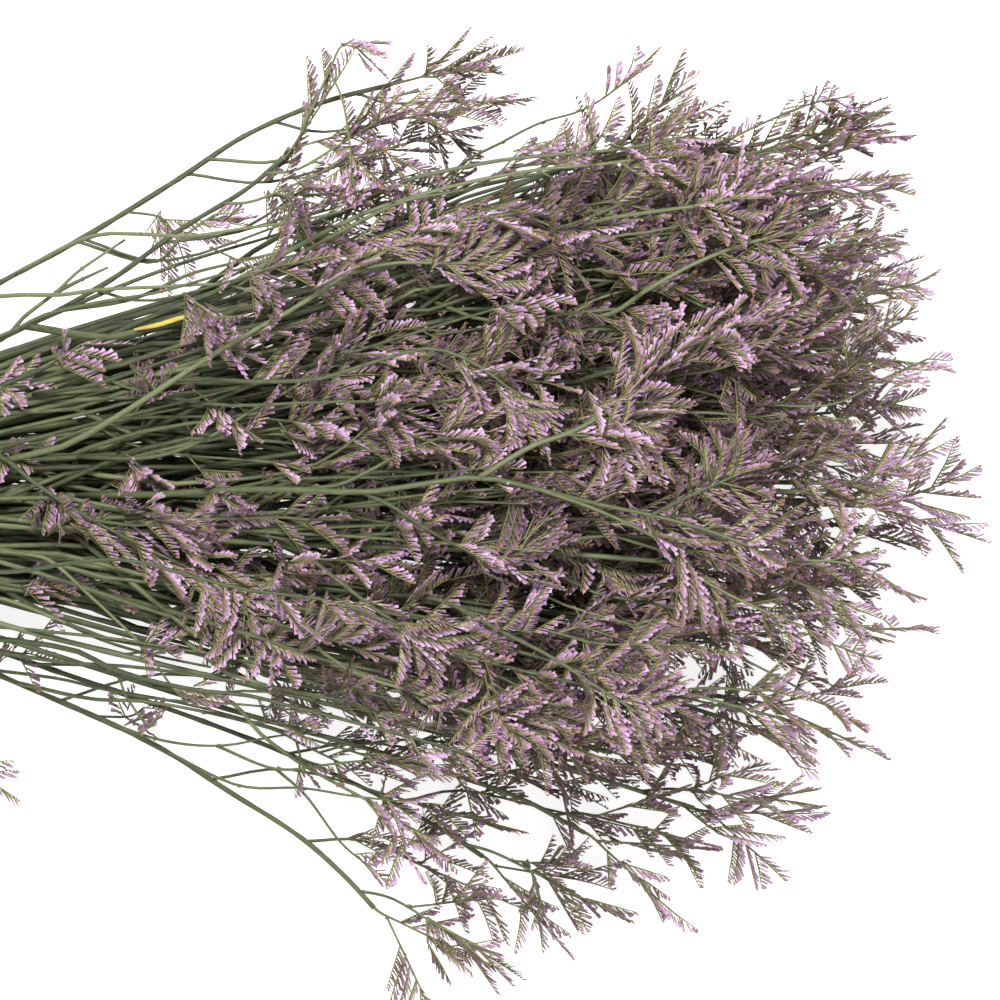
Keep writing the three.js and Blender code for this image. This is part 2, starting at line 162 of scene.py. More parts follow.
@dataclass(frozen=True)
class Spike:
    """One flower spike of a forked shoot, in the shoot's plane.

    Args:
        root: where it starts, in the plane.
        angle: the way it points, in degrees.
        side: which side its florets stand on, 1 or -1.
        length: from its root to its tip.
    """

    root: Array
    angle: float
    side: int
    length: float

    def at(self, ahead: float, aside: float) -> Array:
        """The point of the plane `ahead` along the spike and `aside` towards its florets."""
        return self.root + way(self.angle) * ahead + way(self.angle + 90) * aside * self.side


@dataclass(frozen=True)
class Shoot:
    """A branch with a spike at its end and one beside it, in its own plane.

    Args:
        bend: where it turns forwards.
        fork: where the stalk of the second spike leaves it.
        spikes: its own spike and the one beside it.
        place: (4, 3) origin, forwards, outwards and normal of the plane.
    """

    bend: Array
    fork: Array
    spikes: tuple[Spike, Spike]
    place: Array

    def lifted(self, points: Array) -> Array:
        """Points of the plane, as points in space."""
        flat = np.atleast_2d(points)
        return self.place[0] + flat[:, :1] * self.place[1] + flat[:, 1:] * self.place[2]

    def capsules(self, skeleton: "Skeleton") -> Array:
        """Capsules that hold the shoot: its three stalks, and two for each spike.

        Args:
            skeleton: the sizes of stalks and spikes.

        Returns:
            (7, 7) rows of two end points and a radius.
        """
        own, other = self.spikes
        stalk, depth = skeleton.stalk_half * 1.4, skeleton.spike_depth
        lines = [(np.zeros(2), self.bend, stalk), (self.bend, own.root, stalk),
                 (self.fork, other.root, stalk)]
        for spike in self.spikes:
            lines.append((spike.at(0, 1), spike.at(spike.length, 1), skeleton.spike_half))
            low = spike.at(spike.length * 0.2, depth * 0.62)
            high = spike.at(spike.length * 0.76, depth * 0.62)
            lines.append((low, high, depth * 0.38))
        starts = self.lifted(np.array([line[0] for line in lines]))
        ends = self.lifted(np.array([line[1] for line in lines]))
        return np.column_stack([starts, ends, [line[2] for line in lines]])


@dataclass
class Stem:
    """One stem of the bunch.

    Args:
        number: its place in the order, from 0.
        points: (n, 3) points where it bends, the cut end first.
        first: the share of the way along it where its first branch leaves.
        inner: the side that its branches grow to, in degrees round it, or None for all sides.
        shoots: its shoots, filled in as it grows.
    """

    number: int
    points: Array
    first: float
    inner: float | None
    shoots: list[Shoot] = field(default_factory=list)

    def at(self, share: float) -> Array:
        """The point at a share of the way, each stretch counting the same."""
        place = share * (len(self.points) - 1)
        i = min(int(place), len(self.points) - 2)
        return between(self.points[i : i + 2], place - i)

    def ahead(self, share: float) -> Array:
        """The way that the stem runs there."""
        return unit(self.at(min(1, share + 1e-4)) - self.at(max(0, share - 1e-4)))

    def run(self, xs: Array) -> Array:
        """The stem's smooth middle line: y and z as cubic pieces over x that never overshoot.

        Args:
            xs: (n,) places along the bunch.

        Returns:
            (n, 3) points.
        """
        x = self.points[:, 0]
        steps = np.diff(x)
        slopes = smooth_slopes(steps, np.diff(self.points[:, 1:], axis=0))
        i = np.clip(np.searchsorted(x, xs) - 1, 0, len(x) - 2)
        s = ((xs - x[i]) / steps[i])[:, None]
        width = steps[i][:, None]
        ends = (self.points[i, 1:], self.points[i + 1, 1:])
        return np.column_stack([xs, cubic(s, ends, (slopes[i] * width, slopes[i + 1] * width))])


def way(angle: float) -> Array:
    """The unit vector of a plane at an angle in degrees."""
    return np.array([math.cos(math.radians(angle)), math.sin(math.radians(angle))])


def shoot_place(root: Array, forwards: Array, turn: float) -> Array:
    """The plane of a shoot that leaves a stem on one side.

    Args:
        root: where it leaves.
        forwards: the way that the stem runs there.
        turn: the side, as an angle in radians from +Y towards +Z.

    Returns:
        (4, 3) origin, forwards, outwards and normal.
    """
    level = unit(np.cross(UP, forwards))
    upright = np.cross(forwards, level)
    outwards = level * math.cos(turn) + upright * math.sin(turn)
    return np.array([root, forwards, outwards, np.cross(forwards, outwards)])


def segment_distances(new: Array, old: Array) -> Array:
    """The least distance from each of some segments to each of some others: the closest point of the
    two lines, held to both segments.

    Args:
        new: (n, 6 or more) start and end points.
        old: (m, 6 or more) start and end points.

    Returns:
        (n, m) distances.
    """
    a, c = new[:, None, :3], old[None, :, :3]
    u = (new[:, 3:6] - new[:, :3])[:, None]
    v = (old[:, 3:6] - old[:, :3])[None]
    w = a - c
    uu, vv = (u * u).sum(-1), (v * v).sum(-1)
    uv, uw, vw = (u * v).sum(-1), (u * w).sum(-1), (v * w).sum(-1)
    spread = uu * vv - uv * uv
    skew = spread > 1e-9
    s = np.where(skew, np.clip((uv * vw - vv * uw) / np.where(skew, spread, 1), 0, 1), 0)
    t = np.clip((uv * s + vw) / vv, 0, 1)
    s = np.clip((uv * t - uw) / uu, 0, 1)
    return np.linalg.norm(w + u * s[..., None] - v * t[..., None], axis=-1)


@dataclass(frozen=True)
class Skeleton:
    """The routes of all stems and where their shoots stand, by the same rule as the solids. The names
    say what each size is; a pair is a least and a greatest value, or a first and a last one."""

    cut_end_x: float = -108
    cut_end_flare: float = 1.22
    cut_end_lift: float = 1.6
    head_x: float = 400
    head_tip_x: float = 451
    head_middle: Pair = (24, 66)
    dome: Pair = (0.0009, 0.005)
    straggle: float = 62
    stragglers_at: Pair = (-8, 26)
    fan_power: float = 0.85
    fan_after_head: float = 0.45
    # each layer: height, first y, last y, number of stems
    rows: tuple = (
        (0.7, -76, 108, 5), (28, -81, 123, 6), (55, -82, 136, 6),
        (80, -74, 132, 5), (104, -56, 124, 4), (121, -26, 92, 3),
    )
    lowest_sinks: float = 2.5
    low_tips_lift: float = 7
    row_jitter: float = 5
    short_stems: float = 0.42
    shortened_by: Pair = (55, 130)
    stem_bends_at: tuple = (0.16, 0.36, 0.57, 0.78, 1)
    stem_waver: float = 2.2
    # each outer stem: its bends, the side of its branches, and where the first one leaves
    outer: tuple = (
        (((132, 88, 50), (164, 105, 60), (202, 128, 70), (232, 147, 78), (264, 160, 84),
          (288, 166, 88)), 180, 0.5),
        (((132, 65, 58), (176, 88, 80), (204, 108, 90), (232, 125, 98), (245, 136, 102)), 180, 0.55),
        (((132, 46, 70), (200, 76, 96), (280, 104, 110), (330, 122, 112), (372, 138, 112)),
         190, 0.55),
        (((132, -72, 9), (192, -99, 8), (224, -119, 8), (252, -137, 8), (270, -153, 8),
          (281, -165, 8)), 20, 0.42),
        (((132, -62, 18), (222, -93, 22), (270, -113, 22), (310, -134, 20), (325, -144, 18)),
         15, 0.5),
        (((132, -56, 32), (222, -84, 46), (292, -104, 50), (340, -120, 46), (366, -134, 40)),
         5, 0.55),
        (((132, -50, 54), (192, -65, 66), (256, -80, 70), (320, -97, 62), (372, -112, 52),
          (410, -124, 44)), 0, 0.55),
    )
    outer_branch_spread: float = 34
    stem_radii: Pair = (1.45, 1.05)
    slot_pitch: float = 3.3
    branches: int = 4
    branch_starts: Pair = (0.34, 0.62)
    last_branch: float = 0.93
    branch_lengths: Pair = (100, 34)
    branch_leaves_at: Pair = (34, 46)
    branch_ends_at: Pair = (12, 24)
    branch_bend: float = 0.42
    stalk_half: float = 0.75
    top_length: float = 14
    top_ends_at: float = -16
    top_lean: float = 0.6
    fork_angle: float = 40
    fork_from: float = 0.3
    fork_stalk: Pair = (8, 14)
    golden_turn: float = math.radians(137.5)
    spike_lengths: Pair = (40, 50)
    spike_depth: float = 11.5
    spike_half: float = 2
    beside_length: float = 0.84
    clearance: float = 0.5
    least_lift: float = 0.7
    shoot_stalks: int = 3
    tries: int = 32
    shrink: float = 0.7
    shrinks: int = 3
    band_turns: int = 3
    band_width: float = 2.2
    band_thickness: float = 1.5
    band_gap: float = 0.4
    band_sides: int = 18
    upper_edge: tuple = (
        (100, 40), (170, 76), (250, 112), (324, 142), (380, 160), (412, 166), (480, 166), (500, 150),
        (514, 108), (526, 60), (542, 0),
    )
    lower_edge: tuple = (
        (100, -36), (170, -66), (252, -88), (312, -98), (372, -116), (412, -122), (460, -124),
        (486, -112), (514, -72), (542, -6),
    )
    top_edge: tuple = ((60, 42), (150, 92), (250, 136), (350, 162), (480, 162), (542, 116))

    @property
    def slots(self) -> list[Array]:
        """The places of the stems inside the band: a close packing in rows, nearest the middle first.

        Returns:
            y and z of each from the band's middle.
        """
        count = sum(row[3] for row in self.rows) + len(self.outer)
        reach = math.ceil(math.sqrt(count)) + 1
        steps = range(-reach, reach + 1)
        places = [((column + (0.5 if row % 2 else 0)) * self.slot_pitch,
                   row * self.slot_pitch * math.sqrt(3) / 2) for row in steps for column in steps]
        places.sort(key=lambda p: p[0] ** 2 + p[1] ** 2 + 1e-4 * p[0] + 1e-5 * p[1])
        return [np.array(place) for place in places[:count]]

    @property
    def band_inner(self) -> float:
        """The inner radius of the band."""
        return max(np.hypot(*slot) for slot in self.slots) + self.stem_radii[0] + self.band_gap

    @property
    def band_half(self) -> float:
        """Half the width of the band along the bunch."""
        return self.band_turns * self.band_width / 2

    @property
    def band_middle_z(self) -> float:
        """The height of the band's middle, so that one of its flats lies on the surface."""
        return (self.band_inner + self.band_thickness) * math.cos(math.pi / self.band_sides)

    def fan_at(self, x: float) -> float:
        """How much of the fan has opened at x, from 0 in the band to 1 in the head's plane: a power of
        the share of the way there, and a straight line past it.

        Args:
            x: a place along the bunch.

        Returns:
            The share that has opened.
        """
        share = (x - self.band_half) / (self.head_x - self.band_half)
        if share <= 1:
            return share**self.fan_power
        return 1 + (share - 1) * self.fan_power * self.fan_after_head

    def targets(self) -> list[dict]:
        """Where each stem stands in the head's plane, and how far it runs. The blunt end of the head
        falls back with the squares of the distances from its middle.

        Returns:
            A dictionary for each stem: y, z, tip, lowest, and bends, inner and first of an outer one.
        """
        found = []
        for r, (height, start, stop, stems) in enumerate(self.rows):
            for k in range(stems):
                y = between((start, stop), k / (stems - 1))
                y += (draw(r, k, 1) - 0.5) * 2 * self.row_jitter
                z = height + ((draw(r, k, 2) - 0.5) * self.row_jitter if r else 0)
                off_y, off_z = y - self.head_middle[0], z - self.head_middle[1]
                dome = self.dome[0] * off_y**2 + self.dome[1] * off_z**2
                short = draw(r, k, 3) < self.short_stems
                shorter = between(self.shortened_by, draw(r, k, 4)) if short else 0
                plain = short or not self.stragglers_at[0] < y < self.stragglers_at[1]
                longer = 0 if plain else self.straggle * draw(r, k, 5)
                tip = self.head_tip_x - dome - shorter + longer
                found.append({"y": y, "z": z, "tip": tip, "lowest": r == 0})
        for bends, inner, first in self.outer:
            x, y, z = bends[0]
            fan = self.fan_at(x)
            low = self.band_middle_z
            found.append({"y": y / fan, "z": low + (z - low) / fan, "bends": np.array(bends, float),
                          "inner": inner, "first": first})
        return found

    def slots_for(self, targets: list[dict]) -> list[Array]:
        """Gives each stem the slot in the band that lies on its side of the bunch: two stems trade
        slots for as long as that brings both nearer their sides.

        Args:
            targets: where the stems stand in the head.

        Returns:
            A slot for each stem.
        """
        held = self.slots
        aims = [np.array([target["y"], target["z"]]) for target in targets]
        traded = True
        while traded:
            traded = False
            for i in range(len(held)):
                for j in range(i + 1, len(held)):
                    if (held[i] - held[j]) @ (aims[i] - aims[j]) < -1e-9:
                        held[i], held[j], traded = held[j], held[i], True
        return held

    def stem_points(self, target: dict, slot: Array, i: int) -> Array:
        """The bends of one stem, from its cut end through its slot in the band to its tip.

        Args:
            target: where it stands in the head.
            slot: its place in the band.
            i: its number.

        Returns:
            (n, 3) points.
        """
        middle = self.band_middle_z
        flared = slot * self.cut_end_flare
        cut = [self.cut_end_x, flared[0], middle + self.cut_end_lift + flared[1]]
        leaves = np.array([self.band_half, slot[0], middle + slot[1]])
        if "bends" in target:
            first = target["bends"][0]
            share = self.fan_at(first[0] / 2) / self.fan_at(first[0])
            opening = leaves + (first - leaves) * share
            opening[0] = first[0] / 2
            return np.array([cut, leaves, opening, *target["bends"]])
        bends = []
        for k, share in enumerate(self.stem_bends_at):
            x = between((self.band_half, target["tip"]), share)
            fan = self.fan_at(x)
            waver = self.stem_waver * fan * (1 if k % 2 else -1) * (0.4 + 0.6 * draw(i, k, 7))
            sunk = min(1, fan * self.lowest_sinks) if target["lowest"] else fan
            lift = self.low_tips_lift if target["lowest"] and share == 1 else 0
            y = slot[0] + (target["y"] - slot[0]) * fan + waver
            bends.append([x, y, leaves[2] + (target["z"] - leaves[2]) * sunk + lift])
        return np.array([cut, leaves, *bends])

    def forked(self, length: float, leaves: float, ends: float, keys: list[int],
               place: Array) -> Shoot:
        """A forked shoot that leaves at one angle and bends forwards to another.

        Args:
            length: of its stalk.
            leaves: degrees between the stem and the stalk at its root.
            ends: degrees between them at its end.
            keys: what its draws are named by.
            place: its plane.

        Returns:
            The shoot.
        """
        bend = way(leaves) * length * self.branch_bend
        end = bend + way(ends) * length * (1 - self.branch_bend)
        fork = bend + (end - bend) * self.fork_from
        beside = ends + self.fork_angle
        fork_end = fork + way(beside) * between(self.fork_stalk, draw(*keys, 24))
        reach = between(self.spike_lengths, draw(*keys, 21))
        own = Spike(end, ends, -1, reach)
        other = Spike(fork_end, beside, 1, reach * self.beside_length)
        return Shoot(bend, fork, (own, other), place)

    def branch(self, stem: Stem, k: int, attempt: int, shrink: int) -> Shoot:
        """One side branch. Each attempt turns it further round the stem.

        Args:
            stem: what it leaves.
            k: its number on the stem.
            attempt: from 0.
            shrink: how often it has been made shorter.

        Returns:
            The shoot, which may not have room.
        """
        share = k / (self.branches - 1)
        i = stem.number
        t = between((stem.first, self.last_branch), share)
        swing = (1 if attempt % 2 else -1) * math.ceil(attempt / 2) / self.tries * 2 * math.pi
        if stem.inner is None:
            turn = draw(i, 12) * 2 * math.pi + k * self.golden_turn + swing
        else:
            aside = (1 if k % 2 else -1) * self.outer_branch_spread * draw(i, k, 13)
            turn = math.radians(stem.inner + aside) + swing / 2
        length = between(self.branch_lengths, share) * (0.85 + 0.3 * draw(i, k, 14))
        leaves = between(self.branch_leaves_at, draw(i, k, 15))
        ends = between(self.branch_ends_at, draw(i, k, 16))
        place = shoot_place(stem.at(t), stem.ahead(t), turn)
        return self.forked(length * self.shrink**shrink, leaves, ends, [i, k], place)

    def top(self, stem: Stem, _: int, attempt: int, __: int) -> Shoot:
        """The stem's own end: a forked shoot that leans a little more at each attempt. It takes what
        `branch` takes.

        Args:
            stem: what it ends.
            attempt: from 0.

        Returns:
            The shoot, which may not have room.
        """
        i = stem.number
        ahead = stem.ahead(1)
        root = stem.at(1) - 2.5 * ahead
        lean = math.radians(attempt * self.top_lean)
        towards = shoot_place(root, ahead, draw(i, 91, attempt) * 2 * math.pi)
        forwards = unit(math.cos(lean) * towards[1] + math.sin(lean) * towards[2])
        place = shoot_place(root, forwards, draw(i, 90, attempt) * 2 * math.pi)
        return self.forked(self.top_length, 0, self.top_ends_at, [i, 90], place)

    def inside(self, points: Array) -> Array:
        """Whether points lie inside the head's outline and under its top."""
        x, y, z = points.T
        low, high, top = (along(edge, x) for edge in (self.lower_edge, self.upper_edge, self.top_edge))
        return (y <= high) & (y >= low) & (z <= top)

    def grown(self) -> list[Stem]:
        """All stems with their shoots: each takes the first place that its rule draws which stands
        clear of the other stems, the surface and the head's outline.

        Returns:
            The stems in their order.
        """
        targets = self.targets()
        stems = []
        for i, (target, slot) in enumerate(zip(targets, self.slots_for(targets))):
            first = target.get("first", between(self.branch_starts, math.sqrt(draw(i, 11))))
            stems.append(Stem(i, self.stem_points(target, slot, i), first, target.get("inner")))
        rows, owners = [], []
        for stem in stems:
            count = len(stem.points) - 1
            radii = between(self.stem_radii, np.arange(count) / count)
            rows.append(np.column_stack([stem.points[:-1], stem.points[1:], radii]))
            owners.append(np.full(count, stem.number))
        filled, owner = np.concatenate(rows), np.concatenate(owners)
        jobs = [(stem, self.branches, self.top, 1) for stem in stems]
        jobs += [(stem, k, self.branch, self.shrinks) for k in range(self.branches) for stem in stems]
        for stem, k, rule, shrinks in jobs:
            for attempt in range(shrinks * self.tries):
                shoot = rule(stem, k, attempt % self.tries, attempt // self.tries)
                new = shoot.capsules(self)
                lowest = np.minimum(new[:, 2], new[:, 5])
                if (lowest < new[:, 6] * self.least_lift).any():
                    continue
                if stem.inner is None and not self.inside(new[:, :6].reshape(-1, 3)).all():
                    continue
                own = owner == stem.number
                needed = new[:, 6:] + filled[None, :, 6] + np.where(own, 0, self.clearance)
                room = segment_distances(new, filled) >= needed
                room[: self.shoot_stalks] |= own
                if not room.all():
                    continue
                filled = np.concatenate([filled, new])
                owner = np.concatenate([owner, np.full(len(new), stem.number)])
                stem.shoots.append(shoot)
                break
        return stems


# ---- surfaces


@dataclass
class Surface:
    """A surface of triangles.

    Args:
        points: (n, 3) points.
        faces: (m, 3) corners of the triangles.
        values: named numbers for each point.
        smooth: whether it is shaded round.
    """

    points: Array
    faces: Array
    values: dict[str, Array]
    smooth: bool = True

    @staticmethod
    def joined(parts: list["Surface"]) -> "Surface":
        """Several surfaces as one.

        Args:
            parts: surfaces with the same named numbers.

        Returns:
            The surface.
        """
        starts = np.cumsum([0] + [len(part.points) for part in parts[:-1]])
        return Surface(
            np.concatenate([part.points for part in parts]),
            np.concatenate([part.faces + start for part, start in zip(parts, starts)]),
            {name: np.concatenate([part.values[name] for part in parts]) for name in parts[0].values},
            parts[0].smooth,
        )


def rings(circles: Array, poles: Array, values: dict[str, Array]) -> Surface:
    """Closed skins over stacks of rings. Two triangles join each side of a ring to the next ring, and a
    fan of triangles closes each end on its pole.

    Args:
        circles: (n, m, k, 3) points of n stacks of m rings, that turn round the way the stack runs.
        poles: (n, 2, 3) the points that close the first and the last ring.
        values: named numbers, (n, m + 2) each: for every ring, and then for both poles.

    Returns:
        The surface.
    """
    n, m, k, _ = circles.shape
    j = np.arange(k)
    after = (j + 1) % k
    low = (np.arange(m - 1) * k)[:, None]
    sides = np.stack([
        np.stack([low + j, low + after, low + k + after], -1),
        np.stack([low + j, low + k + after, low + k + j], -1),
    ]).reshape(-1, 3)
    first = np.column_stack([np.full(k, m * k), after, j])
    last = np.column_stack([np.full(k, m * k + 1), (m - 1) * k + j, (m - 1) * k + after])
    pattern = np.concatenate([sides, first, last])
    size = m * k + 2
    faces = (np.arange(n) * size)[:, None, None] + pattern
    points = np.concatenate([circles.reshape(n, m * k, 3), poles], axis=1)
    spread = {name: np.concatenate([np.repeat(v[:, :m], k, axis=1), v[:, m:]], axis=1).reshape(-1)
              for name, v in values.items()}
    return Surface(points.reshape(-1, 3), faces.reshape(-1, 3), spread)


def tubes(lines: Array, radii: Array, sides: int, values: dict[str, Array]) -> Surface:
    """Tubes carried along lines: each ring is the line's point plus a circle across the line's way. The
    circle starts from the axis that the line runs least along, so that the tube doesn't twist.

    Args:
        lines: (n, m, 3) middle lines.
        radii: (n, m) radii.
        sides: corners of a ring.
        values: named numbers, (n, m) each.

    Returns:
        The closed tubes.
    """
    ahead = unit(np.gradient(lines, axis=1))
    least = np.eye(3)[np.abs(lines[:, -1] - lines[:, 0]).argmin(1)]
    first = squared_off(np.broadcast_to(least[:, None], lines.shape), ahead)
    second = np.cross(ahead, first)
    turn = np.arange(sides) / sides * 2 * math.pi
    across = first[:, :, None] * np.cos(turn)[:, None] + second[:, :, None] * np.sin(turn)[:, None]
    circles = lines[:, :, None] + radii[:, :, None, None] * across
    poles = np.stack([
        lines[:, 0] - ahead[:, 0] * radii[:, :1] * 0.3,
        lines[:, -1] + ahead[:, -1] * radii[:, -1:] * 0.6,
    ], axis=1)
    ended = {name: np.column_stack([v, v[:, 0], v[:, -1]]) for name, v in values.items()}
    return rings(circles, poles, ended)


@dataclass
class Fingers:
    """One-sided flower spikes, a row for each.

    Args:
        root: (n, 3) where they start.
        ahead: (n, 3) the ways they point at their roots.
        side: (n, 3) the sides that their florets stand on, square to those ways.
        length: (n,) their lengths.
        tint: (n,) a draw of colour from 0 to 1, to which painted shade deep in the head is added before
            florets are made.
        hook: (n,) how far they bend away from their florets, as a share of their lengths.
    """

    root: Array
    ahead: Array
    side: Array
    length: Array
    tint: Array
    hook: Array

    @staticmethod
    def joined(parts: list["Fingers"]) -> "Fingers":
        """Several sets of fingers as one."""
        columns = [[getattr(part, column.name) for part in parts] for column in fields(Fingers)]
        return Fingers(*map(np.concatenate, columns))

    def at(self, which: Array, share: Array) -> tuple[Array, Array]:
        """Points on fingers: the root, plus the way it points times the share of its length, less its
        side times the hook times the share squared.

        Args:
            which: rows.
            share: shares of the way to the tip, one for each row.

        Returns:
            The points and the ways that the fingers run there.
        """
        s, hook = share[:, None], self.hook[which, None]
        run = self.ahead[which] * s - self.side[which] * hook * s**2
        ahead = unit(self.ahead[which] - 2 * self.side[which] * hook * s)
        return self.root[which] + run * self.length[which, None], ahead


# ---- flowers


@dataclass(frozen=True)
class FloretRule:
    """How florets stand on a finger. Each is a narrow wedge between two short edges that lie across
    each other, one at its foot and one at its mouth.

    Args:
        pitch: between florets, on top of the head and deep in it.
        length: of a floret in the middle of a finger.
        lean: degrees between a finger and its florets, least and most.
        splay: degrees that the two ranks lean apart.
        foot: half the width of the foot.
        mouth: half the width of the open end.
    """

    pitch: Pair = (1.42, 2.3)
    length: float = 5.6
    lean: Pair = (29, 46)
    splay: Pair = (2, 18)
    foot: float = 0.48
    mouth: float = 0.68

    def on(self, fingers: Fingers, shade: Array, rng: np.random.Generator) -> Surface:
        """Florets in two ranks on the florets' side of each finger. A floret's way is the finger's way
        turned towards its side by the lean, and to its rank's side by the splay. Florets grow smaller
        and browner towards the tip.

        Args:
            fingers: what they stand on.
            shade: (n,) how deep the fingers lie in the head, from 0 to 1.
            rng: where the draws come from.

        Returns:
            The florets, with tone from 0 at the foot to 1 at the mouth, age and tint, which carries
            painted shade.
        """
        pitch = between(self.pitch, shade)
        count = np.maximum(5, np.round(fingers.length / pitch)).astype(int)
        which = np.repeat(np.arange(len(count)), count)
        total = len(which)
        place = np.arange(total) - np.repeat(np.cumsum(count) - count, count)
        share = (place + 0.35 + 0.3 * rng.random(total)) / count[which]
        base, ahead = fingers.at(which, share)
        side = squared_off(fingers.side[which], ahead)
        across = np.cross(ahead, side)
        rank = np.where(place % 2, 1.0, -1.0)[:, None]
        lean = np.radians(rng.uniform(*self.lean, len(count))[which] + rng.normal(0, 5, total))[:, None]
        splay = np.radians(rng.uniform(*self.splay, total))[:, None] * rank
        out = side * np.cos(splay) + across * np.sin(splay)
        ways = ahead * np.cos(lean) + out * np.sin(lean)
        taper = np.clip((1.06 - share) / 0.4, 0.36, 1) * np.clip(0.72 + 2 * share, 0, 1)
        size = taper * rng.uniform(0.8, 1.12, total)
        width = np.clip(size, 0.8, 1) * rng.uniform(0.85, 1.15, total)
        width = (width * (1 + 0.3 * shade[which]))[:, None, None]
        first = squared_off(across, ways)
        second = np.cross(ways, first)
        turn = rng.normal(0, 0.3, total)[:, None] + np.array([3, 7, 1, 5]) * math.pi / 4
        spin = first[:, None] * np.cos(turn)[..., None] + second[:, None] * np.sin(turn)[..., None]
        radii = np.array([self.mouth, self.mouth, self.foot, self.foot])[:, None]
        stops = np.array([1.0, 1.0, 0.04, 0.04])[:, None]
        points = (base + side * 0.15)[:, None] + spin * radii * width
        points = points + ways[:, None] * stops * (self.length * size)[:, None, None]
        pattern = np.array([[2, 3, 0], [3, 2, 1], [0, 1, 2], [1, 0, 3]])
        faces = (np.arange(total) * 4)[:, None, None] + pattern
        old = np.clip((share - 0.76) / 0.24, 0, 1) + rng.random(total) ** 6 * 0.6
        return Surface(points.reshape(-1, 3), faces.reshape(-1, 3), {
            "tone": np.tile(stops[:, 0], total),
            "age": np.repeat(np.clip(old, 0, 1), 4),
            "tint": np.repeat(np.clip(fingers.tint[which] + rng.normal(0, 0.15, total), 0, 1), 4),
        }, smooth=False)


# ---- how a stem grows


class Twig(Enum):
    """The kinds of stalk on a stem: rings along it, corners of a ring, and how tan it has turned."""

    LONG = (22, 5, 0.1)
    BRANCH = (9, 5, 0.25)
    SHORT = (4, 4, 0.5)


@dataclass(frozen=True)
class FanKind:
    """How the fingers of a fan stand.

    Args:
        varies: degrees by which their angles vary.
        first: degrees between the stalk and the finger at its end.
        steps: between their roots along the stalk, least and most.
    """

    varies: float
    first: float
    steps: Pair


COMB = FanKind(4, 30, (3.6, 5.2))
HAND = FanKind(9, 10, (2.2, 3.8))


